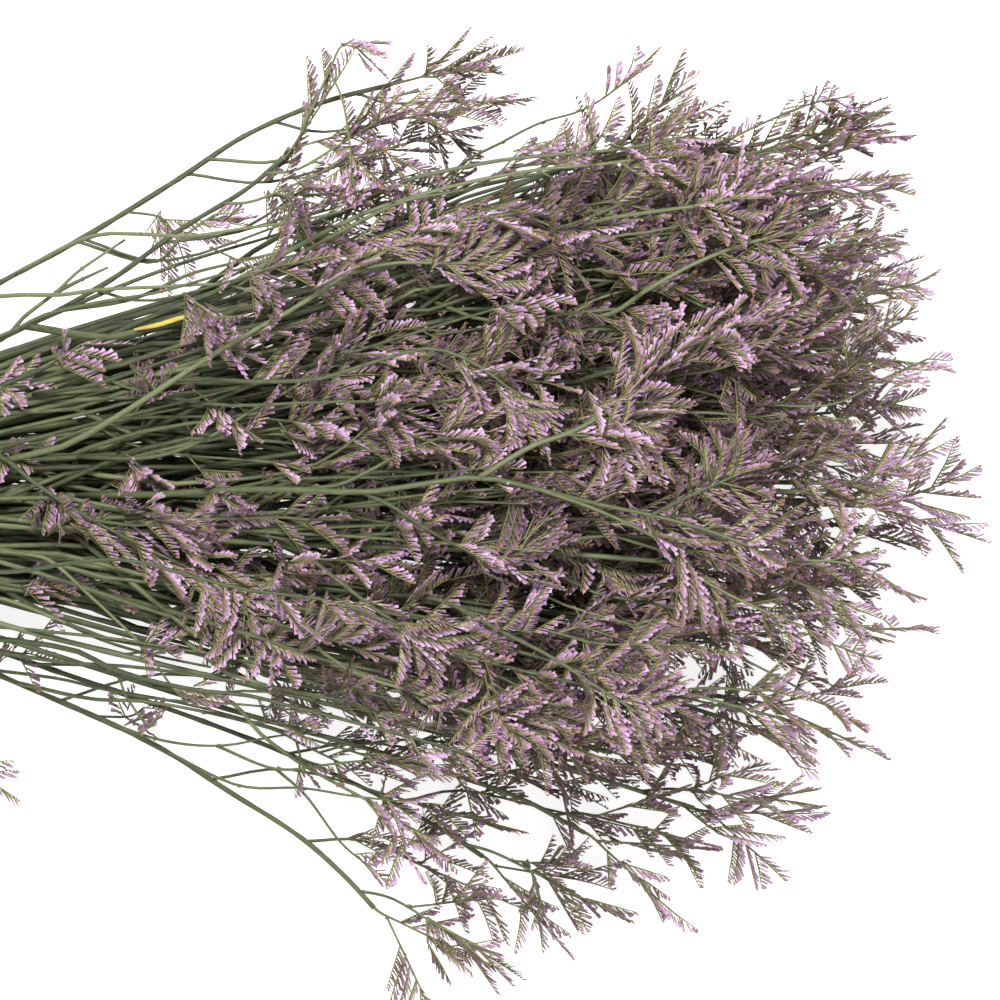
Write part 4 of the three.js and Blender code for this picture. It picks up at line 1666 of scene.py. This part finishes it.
@dataclass(frozen=True)
class Bench:
    """Turns surfaces in millimetres from under the band into pieces in the frame.

    Args:
        shift: (3,) where the band's middle is in the frame, in metres, on the surface.
    """

    shift: Array

    def piece(self, name: str, surface: Surface, material: bpy.types.Material, node: str,
              slot: str) -> None:
        """One piece of the object. Points lower than 1.2 mm are pressed together above the surface:
        their height becomes 1.2 times the exponential of what is missing.

        Args:
            name: of the piece.
            surface: its shape.
            material: its finish.
            node: the solid that it stands for.
            slot: the material slot of the record; not used.
        """
        points = surface.points.copy()
        low = points[:, 2] < 1.2
        points[low, 2] = 1.2 * np.exp((points[low, 2] - 1.2) / 1.2)
        points = points / 1000 + self.shift
        count = len(surface.faces)
        mesh = bpy.data.meshes.new(name)
        mesh.vertices.add(len(points))
        mesh.vertices.foreach_set("co", points.astype(np.float32).ravel())
        mesh.loops.add(count * 3)
        mesh.loops.foreach_set("vertex_index", surface.faces.astype(np.int32).ravel())
        mesh.polygons.add(count)
        mesh.polygons.foreach_set("loop_start", np.arange(0, count * 3, 3, dtype=np.int32))
        mesh.polygons.foreach_set("use_smooth", np.full(count, surface.smooth))
        for key, numbers in surface.values.items():
            layer = mesh.attributes.new(key, "FLOAT", "POINT")
            layer.data.foreach_set("value", numbers.astype(np.float32))
        mesh.update(calc_edges=True)
        mesh.materials.append(material)
        piece = bpy.data.objects.new(name, mesh)
        bpy.context.scene.collection.objects.link(piece)
        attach(piece, "root")
        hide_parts(node)
        log.info("%s: %d triangles", name, count)


@dataclass
class Crown:
    """The top of the head over a grid of cells, below which colours are painted darker as shade.

    Args:
        points: (n, 3) points on everything that has grown.
        cell: the width of a cell.
        deep: how far under the top the shade is full.
        fades_over: where along the bunch the shade fades, towards the open end.
        least: the share of it that is left there.
        low: the corner of the grid.
        top: the height of the head in each cell.
    """

    points: Array
    cell: float = 8
    deep: float = 26
    fades_over: Pair = (425, 485)
    least: float = 0.15
    low: Array = field(init=False)
    top: Array = field(init=False)

    def __post_init__(self) -> None:
        """Keeps the highest point of each cell, averaged with its neighbours."""
        self.low = self.points[:, :2].min(0) - self.cell
        i, j = self.cells(self.points)
        highest = np.zeros((i.max() + 4, j.max() + 4))
        np.maximum.at(highest, (i, j), self.points[:, 2])
        shifted = [np.roll(highest, (a, b), (0, 1)) for a in (-1, 0, 1) for b in (-1, 0, 1)]
        self.top = np.mean(shifted, axis=0)

    def cells(self, points: Array) -> tuple[Array, Array]:
        """The cell of each point, as a row and a column."""
        return tuple(np.maximum((points[:, :2] - self.low) / self.cell, 0).astype(int).T)

    def shade(self, points: Array) -> Array:
        """How deep each point lies under the top, from 0 to 1, fading at the open end."""
        cells = [np.minimum(c, n - 1) for c, n in zip(self.cells(points), self.top.shape)]
        fade = np.interp(points[:, 0], self.fades_over, (1, self.least))
        return np.clip((self.top[tuple(cells)] - points[:, 2]) / self.deep, 0, 1) * fade


@dataclass(frozen=True)
class Bunch:
    """All stems of the bunch with their flowers.

    Args:
        early: x, y and number of fingers of the small sprays on the bare part of the stems.
        boughs: the branches on top of the others, each as its radius, the fingers in its last fan or
            0 where it is cut off, their length, and x and y of its bends.
        leaf: x and y of the bends of a dry leaf.
        leaf_half: half its width.
        leaf_flat: its thickness as a share of its width.
        hollows: x, y, half length and half width of the set clearings.
        drawn_hollows: how many more are drawn.
        hollows_over: x where they start and end.
        hollows_across: the middle and width of their strip.
        hollow_sizes: least and greatest half length and half width.
        bare_until: where the stems start to carry others.
        head_from: where fingers do.
        carried_within: how near a branch passes what carries it.
        clear_by: x where a branch starts to lie higher over that, and where it has.
        clear_from: how high it lies before and after.
        highest: the greatest height of a bend.
        starts_before: how far back a branch leaves its stem.
        skeleton: the routes.
        floret: how florets stand.
        florets: their finish.
        stalks: the finish of everything green.
    """

    early: tuple = (
        (148, 18, 7), (146, 46, 4), (170, 62, 4), (198, 10, 6), (224, -4, 6), (184, -12, 4), (156, -30, 4),
        (240, -36, 5), (206, -56, 6), (148, -62, 3), (194, -84, 3), (208, 106, 5), (228, 72, 6),
        (166, -8, 3), (216, 34, 5),
    )
    boughs: tuple = (
        (1.6, 6, 26, (192, 2), (226, 4), (252, 4), (278, 3), (300, 6), (324, 9), (348, 4), (372, -2),
            (392, -6), (414, -12), (430, -18)),
        (1.3, 8, 27, (324, 9), (344, 21), (358, 26), (370, 32), (384, 42), (396, 53), (406, 62)),
        (0.9, 8, 31, (370, 32), (380, 32), (388, 30)),
        (0.8, 6, 24, (358, 26), (368, 25), (380, 23)),
        (1.1, 6, 24, (278, 3), (290, -3), (302, -11), (320, -21), (338, -30)),
        (1.0, 6, 24, (252, 4), (268, 6), (281, 12), (294, 19), (312, 26), (328, 32)),
        (0.9, 6, 24, (392, -6), (408, 2), (426, 10)),
        (0.9, 6, 26, (348, 4), (368, -3), (388, -12), (404, -22), (414, -36)),
        (1.4, 8, 29, (156, 21), (174, 30), (192, 41), (212, 54), (232, 66), (252, 77), (272, 90),
            (292, 102), (308, 110), (332, 113), (340, 114)),
        (1.0, 6, 26, (272, 90), (290, 94), (308, 94), (326, 94)),
        (1.0, 6, 26, (192, 17), (214, 24), (232, 35), (252, 46), (270, 58), (281, 65)),
        (0.9, 6, 26, (237, 7), (254, 12), (270, 21), (284, 33), (289, 38)),
        (1.1, 6, 25, (212, 48), (236, 47), (260, 48), (280, 54), (304, 60), (322, 54), (336, 44),
            (348, 38)),
        (0.9, 4, 22, (192, 33), (230, 33), (260, 30)),
        (1.3, 6, 26, (356, 47), (372, 50), (392, 55), (412, 63), (428, 70)),
        (1.3, 6, 25, (372, 73), (390, 83), (408, 93), (428, 101), (448, 106)),
        (1.2, 6, 26, (356, 106), (372, 111), (392, 114), (414, 117), (432, 121)),
        (1.1, 8, 29, (128, 19), (144, 8), (157, -1), (169, -8), (192, -20), (216, -31), (231, -38)),
        (0.9, 6, 26, (216, -31), (226, -40), (232, -47)),
        (0.9, 6, 24, (169, -8), (184, -10), (198, -10), (206, -13)),
        (1.1, 6, 25, (128, -29), (144, -28), (162, -25), (184, -24), (208, -30), (232, -36), (264, -40),
            (292, -50), (310, -59)),
        (0.9, 3, 20, (144, -22), (154, -26), (166, -37), (178, -48), (190, -60), (199, -73), (205, -80)),
        (1.1, 6, 24, (308, -40), (332, -52), (352, -62), (372, -75), (388, -85)),
        (1.2, 6, 24, (240, 104), (270, 115), (292, 126), (312, 131), (334, 135), (356, 137), (380, 139),
            (402, 143)),
        (1.1, 3, 24, (248, 99), (276, 113), (300, 121), (324, 127), (348, 131), (372, 133), (394, 136)),
        (1.0, 2, 20, (264, 104), (292, 118), (316, 123), (340, 129), (351, 133)),
        (0.6, 5, 20, (314, 132), (332, 142), (348, 150), (362, 154), (372, 159), (381, 166)),
        (1.0, 2, 20, (167, 105), (188, 106), (208, 105), (230, 108), (252, 111), (270, 115)),
        (1.1, 0, 0, (128, 63), (142, 74), (154, 83), (164, 92), (182, 104)),
        (1.1, 2, 20, (128, 81), (156, 82), (172, 84), (196, 85), (220, 86), (234, 83)),
        (1.0, 2, 20, (128, 65), (150, 74), (172, 79), (196, 83), (228, 92), (252, 98)),
        (1.0, 0, 0, (154, 83), (164, 88), (175, 93)),
        (1.7, 0, 0, (172, 65), (186, 67), (206, 72), (222, 76), (242, 80)),
        (0.8, 3, 20, (245, 136), (256, 154), (264, 171), (269, 181), (277, 182)),
        (0.5, 4, 20, (264, 171), (269, 160), (272, 144), (273, 131)),
        (1.0, 0, 0, (128, -39), (152, -47), (172, -56), (192, -62), (216, -67)),
        (0.9, 2, 16, (128, -51), (152, -53), (180, -56), (212, -61), (238, -63)),
        (1.3, 3, 20, (128, -56), (160, -60), (176, -67), (192, -72), (212, -76), (232, -78), (252, -83),
            (292, -93), (320, -101)),
        (1.0, 2, 18, (128, -61), (156, -65), (188, -67), (224, -72), (260, -78), (284, -85)),
        (0.8, 2, 16, (154, -72), (172, -76), (196, -80), (228, -82), (248, -84)),
        (0.9, 4, 20, (166, -80), (188, -81), (212, -85), (240, -92), (252, -98), (270, -107)),
        (0.7, 3, 14, (174, -68), (182, -80), (190, -91), (193, -89)),
        (1.0, 5, 22, (222, -80), (236, -94), (252, -106), (266, -114), (286, -125), (300, -136)),
        (0.7, 2, 16, (192, -96), (218, -99), (242, -95), (254, -94)),
        (0.7, 4, 18, (218, -99), (242, -108), (264, -106), (292, -103)),
        (0.7, 4, 18, (226, -115), (252, -116), (272, -119), (290, -121)),
        (0.7, 4, 18, (242, -108), (254, -119), (268, -138), (281, -149)),
        (0.7, 5, 18, (104, -97), (118, -105), (126, -114)),
        (1.0, 4, 18, (176, 84), (200, 93), (218, 99), (238, 105), (252, 110)),
        (0.9, 4, 18, (184, 80), (208, 90), (228, 95), (248, 100), (264, 106)),
        (0.8, 3, 15, (192, 95), (204, 104), (212, 110), (218, 114)),
        (0.7, 3, 15, (230, 108), (240, 114), (248, 120)),
        (0.5, 7, 12, (452, 114), (472, 121), (488, 124)),
        (0.5, 7, 12, (460, 76), (480, 82), (497, 86)),
        (0.5, 7, 12, (464, 38), (486, 49), (502, 56)),
        (0.5, 7, 12, (458, -46), (480, -51), (498, -51)),
        (0.5, 6, 11, (452, -53), (466, -58), (477, -62)),
        (0.5, 7, 12, (440, -69), (458, -79), (471, -87)),
        (0.5, 6, 11, (430, -85), (442, -95), (451, -106)),
        (0.5, 7, 12, (452, 140), (470, 143), (484, 142)),
        (0.5, 7, 12, (452, 98), (472, 102), (486, 99)),
        (0.5, 7, 12, (440, 152), (456, 158), (467, 160)),
        (0.5, 7, 12, (460, 60), (478, 64), (492, 71)),
        (0.5, 7, 12, (456, -24), (476, -27), (492, -36)),
    )
    leaf: tuple = ((186, 68), (196, 70), (206, 73), (219, 75))
    leaf_half: float = 1.0
    leaf_flat: float = 0.35
    hollows: tuple = ((402, 60, 15, 11), (272, -9, 18, 7), (374, -18, 14, 7), (326, -4, 13, 6),
                      (296, 30, 12, 6), (236, 32, 14, 6))
    drawn_hollows: int = 26
    hollows_over: Pair = (262, 476)
    hollows_across: Pair = (24, 230)
    hollow_sizes: tuple[Pair, Pair] = ((8, 5), (16, 10))
    bare_until: float = 60
    head_from: float = 262
    carried_within: float = 9
    clear_by: Pair = (240, 300)
    clear_from: Pair = (2, 6)
    highest: float = 160
    starts_before: float = 30
    skeleton: Skeleton = Skeleton()
    floret: FloretRule = FloretRule()
    florets: FloretFinish = FloretFinish()
    stalks: StalkFinish = StalkFinish()

    def clearings(self) -> Array:
        """The set hollows and the drawn ones, spread over the head by steps of the golden ratio.

        Returns:
            (n, 4) x, y, half length and half width.
        """
        k = np.arange(self.drawn_hollows)
        rng = np.random.default_rng(SEED)
        x = between(self.hollows_over, (k + 0.5) / self.drawn_hollows)
        middle, width = self.hollows_across
        y = middle + width * (k * 0.618 % 1 - 0.5) * np.interp(x, (262, 380), (0.62, 1))
        sizes = rng.uniform(*self.hollow_sizes, (len(k), 2))
        return np.vstack([np.array(self.hollows, float), np.column_stack([x, y, sizes])])

    def heights(self, growths: list[Growth]) -> Array:
        """Points on what has grown: the stems, their long branches, and the fingers in the head.

        Args:
            growths: of all stems.

        Returns:
            (n, 3) points.
        """
        found = []
        for growth in growths:
            found.append(growth.stem.run(np.arange(self.bare_until, growth.stem.points[-1, 0], 5.0)))
            found += [item[0] for item in growth.twigs[Twig.LONG]]
            fans = Fingers.joined(growth.fans)
            outer = fans.root + fans.ahead * fans.length[:, None] * 0.6
            found.append(outer[outer[:, 0] > self.head_from])
        return np.concatenate(found)

    def laid(self, bends: Sequence[Pair], heights: Array) -> Array:
        """Bends with a height that lays them on what stands near them, or as high as the nearest point
        where nothing does.

        Args:
            bends: x and y of each.
            heights: points on everything that has grown.

        Returns:
            (n, 3) points.
        """
        found = []
        for x, y in bends:
            away = np.hypot(heights[:, 0] - x, heights[:, 1] - y)
            near = heights[away < self.carried_within, 2]
            z = near.max() if len(near) > 2 else heights[away.argmin(), 2]
            clear = np.interp(x, self.clear_by, self.clear_from)
            found.append([x, y, min(z + clear, self.highest)])
        return np.array(found)

    @staticmethod
    def eased(line: Array, dip: float = 0.25, fall: float = 0.5, climb: float = 1) -> Array:
        """A line that spans the dips between its high points, as a stiff branch does: each height is
        at least the next one less a share of the step, and then falls and climbs from the one before
        by no more than other shares. The heights are then averaged with their neighbours.

        Args:
            line: (n, 3) points. The first one stays.
            dip: the share that holds a point up before a higher one.
            fall: the greatest fall.
            climb: the greatest climb.

        Returns:
            The line with its new heights.
        """
        steps = np.hypot(*np.diff(line[:, :2], axis=0).T)
        z = line[:, 2].copy()
        for k in range(len(z) - 2, 0, -1):
            z[k] = max(z[k], z[k + 1] - steps[k] * dip)
        for k in range(1, len(z)):
            z[k] = np.clip(z[k], z[k - 1] - steps[k - 1] * fall, z[k - 1] + steps[k - 1] * climb)
        z[1:-1] = (z[:-2] + 2 * z[1:-1] + z[2:]) / 4
        return np.column_stack([line[:, :2], z])

    @staticmethod
    def nearest(growths: list[Growth], place: Array) -> tuple[Growth, Array]:
        """The growth whose stem runs nearest to a place, mostly by y, and the stem's point there."""
        roots = np.array([growth.stem.run(place[:1])[0] for growth in growths])
        best = np.argmin(np.abs(roots[:, 1] - place[1]) * 3 + np.abs(roots[:, 2] - place[2]))
        return growths[best], roots[best]

    def lay_boughs(self, growths: list[Growth]) -> None:
        """Adds the branches on top. One that starts at a bend of another grows from it, and the others
        rise from the nearest stem.

        Args:
            growths: of all stems.
        """
        heights = self.heights(growths)
        owners = {}
        for radius, count, reach, *bends in self.boughs:
            line = self.laid(bends, heights)
            if bends[0] in owners:
                growth, line[0, 2] = owners[bends[0]]
            else:
                growth, root = self.nearest(growths, line[0] - np.array([self.starts_before, 0, 0]))
                line = np.vstack([root, line])
            line = self.eased(line)
            owners.update({bend: (growth, point[2]) for bend, point in zip(bends, line[-len(bends):])})
            growth.over(line, radius, count, reach)

    def dry_leaf(self, growths: list[Growth], heights: Array, bench: Bench) -> None:
        """One narrow yellow leaf that lies on the stems: a tube pressed flat, whose width is the sine
        of the way along it to the power 0.6.

        Args:
            growths: of all stems.
            heights: points on everything that has grown.
            bench: what makes the piece.
        """
        count, sides = 14, 8
        line = bent(self.eased(self.laid(self.leaf, heights)), count)
        half = self.leaf_half * np.sin(np.linspace(0.25, math.pi - 0.1, count)) ** 0.6
        leaf = tubes(line[None], half[None], sides, {"tint": np.zeros((1, count))})
        middle = np.interp(leaf.points[:, 0], line[:, 0], line[:, 2])
        leaf.points[:, 2] = middle + (leaf.points[:, 2] - middle) * self.leaf_flat
        owner = self.nearest(growths, line[0])[0].stem.number + 1
        bench.piece("dry_leaf", leaf, BladeFinish().material(), f"stem_{owner:02d}", "stems")

    def build(self, bench: Bench) -> None:
        """Grows all stems, lays the branches on top and makes two pieces of each stem. A finger's tint
        loses 0.4 of itself and gains 0.6 with the full shade: painted shade, which darkens the colours
        of fingers deep in the head.

        Args:
            bench: what makes the pieces.
        """
        petal, bark = self.florets.material(), self.stalks.material()
        clearings = self.clearings()
        growths = [Growth(stem, self.skeleton, np.random.default_rng([SEED, stem.number]), clearings)
                   for stem in self.skeleton.grown()]
        for growth in growths:
            growth.grow()
        for x, y, count in self.early:
            start = np.array([x - Growth.early_stalk])
            roots = np.array([growth.stem.run(start)[0] for growth in growths])
            best = np.argmax(roots[:, 2] - np.maximum(np.abs(roots[:, 1] - y) - 5, 0) * 4)
            growths[best].early(np.array([x, y], float), count)
        self.lay_boughs(growths)
        heights = self.heights(growths)
        crown = Crown(heights)
        self.dry_leaf(growths, heights, bench)
        for growth in growths:
            node = f"stem_{growth.stem.number + 1:02d}"
            fingers = Fingers.joined(growth.fans)
            # Painted shade: fingers deep under the top of the head get a higher tint, and so darker
            # colours.
            shade = crown.shade(fingers.root)
            fingers.tint = np.clip(fingers.tint * (1 - 0.4 * shade) + 0.6 * shade, 0, 1)
            flowers = self.floret.on(fingers, shade, growth.rng)
            wood = Surface.joined([growth.stalks(crown.shade), growth.scales()])
            bench.piece(f"{node}_flowers", flowers, petal, node, "flowers")
            bench.piece(f"{node}_stalks", wood, bark, node, "stems")


@dataclass(frozen=True)
class ElasticBand:
    """One elastic band wound three times round the stems.

    Args:
        inner: the radius inside the turns.
        middle_z: the height of their middle.
        strand: half the thickness and half the width of the strand.
        pitch: between turns.
        turns: how many.
        crossing: the angle over which the strand goes back across the turns.
    """

    inner: float
    middle_z: float
    strand: Pair = (0.72, 1.02)
    pitch: float = 2.2
    turns: int = 3
    crossing: float = math.radians(70)

    def surface(self) -> Surface:
        """A closed strand: the angle runs `turns` times round. Its place along the bunch grows evenly
        with the angle and goes back by 3 s squared less 2 s cubed over the crossing, where the strand
        rises over the turns under it. The section is a rounded box: the cosine and the sine, each to
        the power 0.6.

        Returns:
            The surface.
        """
        steps, sides = 420, 10
        turn = np.linspace(0, self.turns * 2 * math.pi, steps, endpoint=False)
        last = self.turns * 2 * math.pi - self.crossing
        s = np.clip((turn - last) / self.crossing, 0, 1)
        back = 3 * s**2 - 2 * s**3
        reach = (self.turns - 1) * self.pitch
        x = (np.minimum(turn / last, 1) - back - 0.5) * reach
        rise = np.sin(s * math.pi) ** 0.8 * self.strand[0] * 1.7
        start = math.radians(60)
        radius = self.inner + self.strand[0] + rise
        out = np.column_stack([np.zeros(steps), np.cos(turn + start), np.sin(turn + start)])
        middle = np.column_stack([x, np.zeros(steps), np.full(steps, self.middle_z)])
        middle = middle + out * radius[:, None]
        ahead = unit(np.roll(middle, -1, axis=0) - np.roll(middle, 1, axis=0))
        across = np.cross(ahead, out)
        angle = np.arange(sides) / sides * 2 * math.pi
        c, n = np.cos(angle), np.sin(angle)
        c, n = np.sign(c) * np.abs(c) ** 0.6, np.sign(n) * np.abs(n) ** 0.6
        points = (middle[:, None] + out[:, None] * (c * self.strand[0])[:, None]
                  + across[:, None] * (n * self.strand[1])[:, None])
        here = np.arange(steps * sides).reshape(steps, sides)
        beside, after = np.roll(here, -1, 1), np.roll(here, -1, 0)
        corner = np.roll(after, -1, 1)
        faces = np.array([[here, beside, corner], [here, corner, after]])
        faces = np.moveaxis(faces, 1, -1).reshape(-1, 3)
        return Surface(points.reshape(-1, 3), faces, {"tint": np.zeros(steps * sides)})

    def build(self, bench: Bench) -> None:
        """Makes the piece."""
        bench.piece("elastic_band", self.surface(), RubberFinish().material(), "band", "band")


# ---- the stage


@dataclass(frozen=True)
class Stage:
    """A pale floor, soft light and a camera that looks straight down.

    Args:
        middle: where the camera looks, in metres from under the band.
        across: the width of what it sees at that height.
        lens: its focal length in millimetres.
        sensor: the width of its sensor in millimetres.
        lamps: name, place, size and power of each soft light.
        lamps_face: the point that they shine at.
        sky: the strength of the light from all round.
        paper: the grey of the floor, and how strongly it glows.
        reach: how far the floor goes on from the middle.
    """

    middle: tuple = (0.332, 0.0, 0.085)
    across: float = 0.4
    lens: float = 600
    sensor: float = 36
    lamps: tuple = (("key", (-0.3, 0.95, 2.25), 0.7, 81), ("fill", (0.6, -0.9, 2.2), 1.6, 26))
    lamps_face: tuple = (0.05, 0.0, 0.05)
    sky: float = 0.11
    paper: Pair = (0.6, 0.76)
    reach: float = 9

    def build(self, bench: Bench) -> None:
        """Makes the floor, the lights, the world and the camera.

        Args:
            bench: the camera looks down on it.
        """
        scene = bpy.context.scene
        scene.view_settings.view_transform = "Standard"
        self.floor()
        for lamp in self.lamps:
            self.light(*lamp)
        world = bpy.data.worlds.new("studio")
        world.use_nodes = True
        sky = world.node_tree.nodes["Background"].inputs
        sky["Color"].default_value, sky["Strength"].default_value = (1, 1, 1, 1), self.sky
        scene.world = world
        view = bpy.data.cameras.new("camera")
        view.lens, view.sensor_width = self.lens, self.sensor
        camera = bpy.data.objects.new("camera", view)
        scene.collection.objects.link(camera)
        x, y, z = bench.shift + np.array(self.middle)
        camera.location = (x, y, z + self.across * self.lens / self.sensor)
        scene.camera = camera

    def floor(self) -> None:
        """A flat sheet, larger than any view."""
        mesh = bpy.data.meshes.new("floor")
        corners = [(x * self.reach, y * self.reach, 0) for x, y in ((-1, -1), (1, -1), (1, 1), (-1, 1))]
        mesh.from_pydata(corners, [], [(0, 1, 2, 3)])
        grey, glow = self.paper
        g = Graph("paper")
        settings = {"Base Color": (grey, grey, grey), "Roughness": 0.95,
                    "Emission Color": (1.0, 1.0, 1.0), "Emission Strength": glow}
        for name, value in settings.items():
            g.put(g.shader.inputs[name], value)
        mesh.materials.append(g.material)
        floor = bpy.data.objects.new("floor", mesh)
        bpy.context.scene.collection.objects.link(floor)

    def light(self, name: str, place: tuple, size: float, power: float) -> None:
        """A square soft light.

        Args:
            name: of the light.
            place: where it stands.
            size: of a side.
            power: in watts.
        """
        data = bpy.data.lights.new(name, "AREA")
        data.shape, data.size, data.energy = "SQUARE", size, power
        lamp = bpy.data.objects.new(name, data)
        lamp.location = place
        towards = np.array(self.lamps_face) - np.array(place)
        lamp.rotation_mode = "QUATERNION"
        lamp.rotation_quaternion = Vector(towards).to_track_quat("-Z", "Y")
        lamp.visible_camera = False
        bpy.context.scene.collection.objects.link(lamp)


def main() -> None:
    """Builds the pieces in order and writes how large they are."""
    logging.basicConfig(level=logging.INFO, format="%(name)s %(message)s")
    low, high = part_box("band")
    bench = Bench(np.array([(low.x + high.x) / 2, (low.y + high.y) / 2, 0.0]))
    bunch = Bunch()
    bunch.build(bench)
    ElasticBand(bunch.skeleton.band_inner, bunch.skeleton.band_middle_z).build(bench)
    Stage().build(bench)


if __name__ == "__main__":
    main()
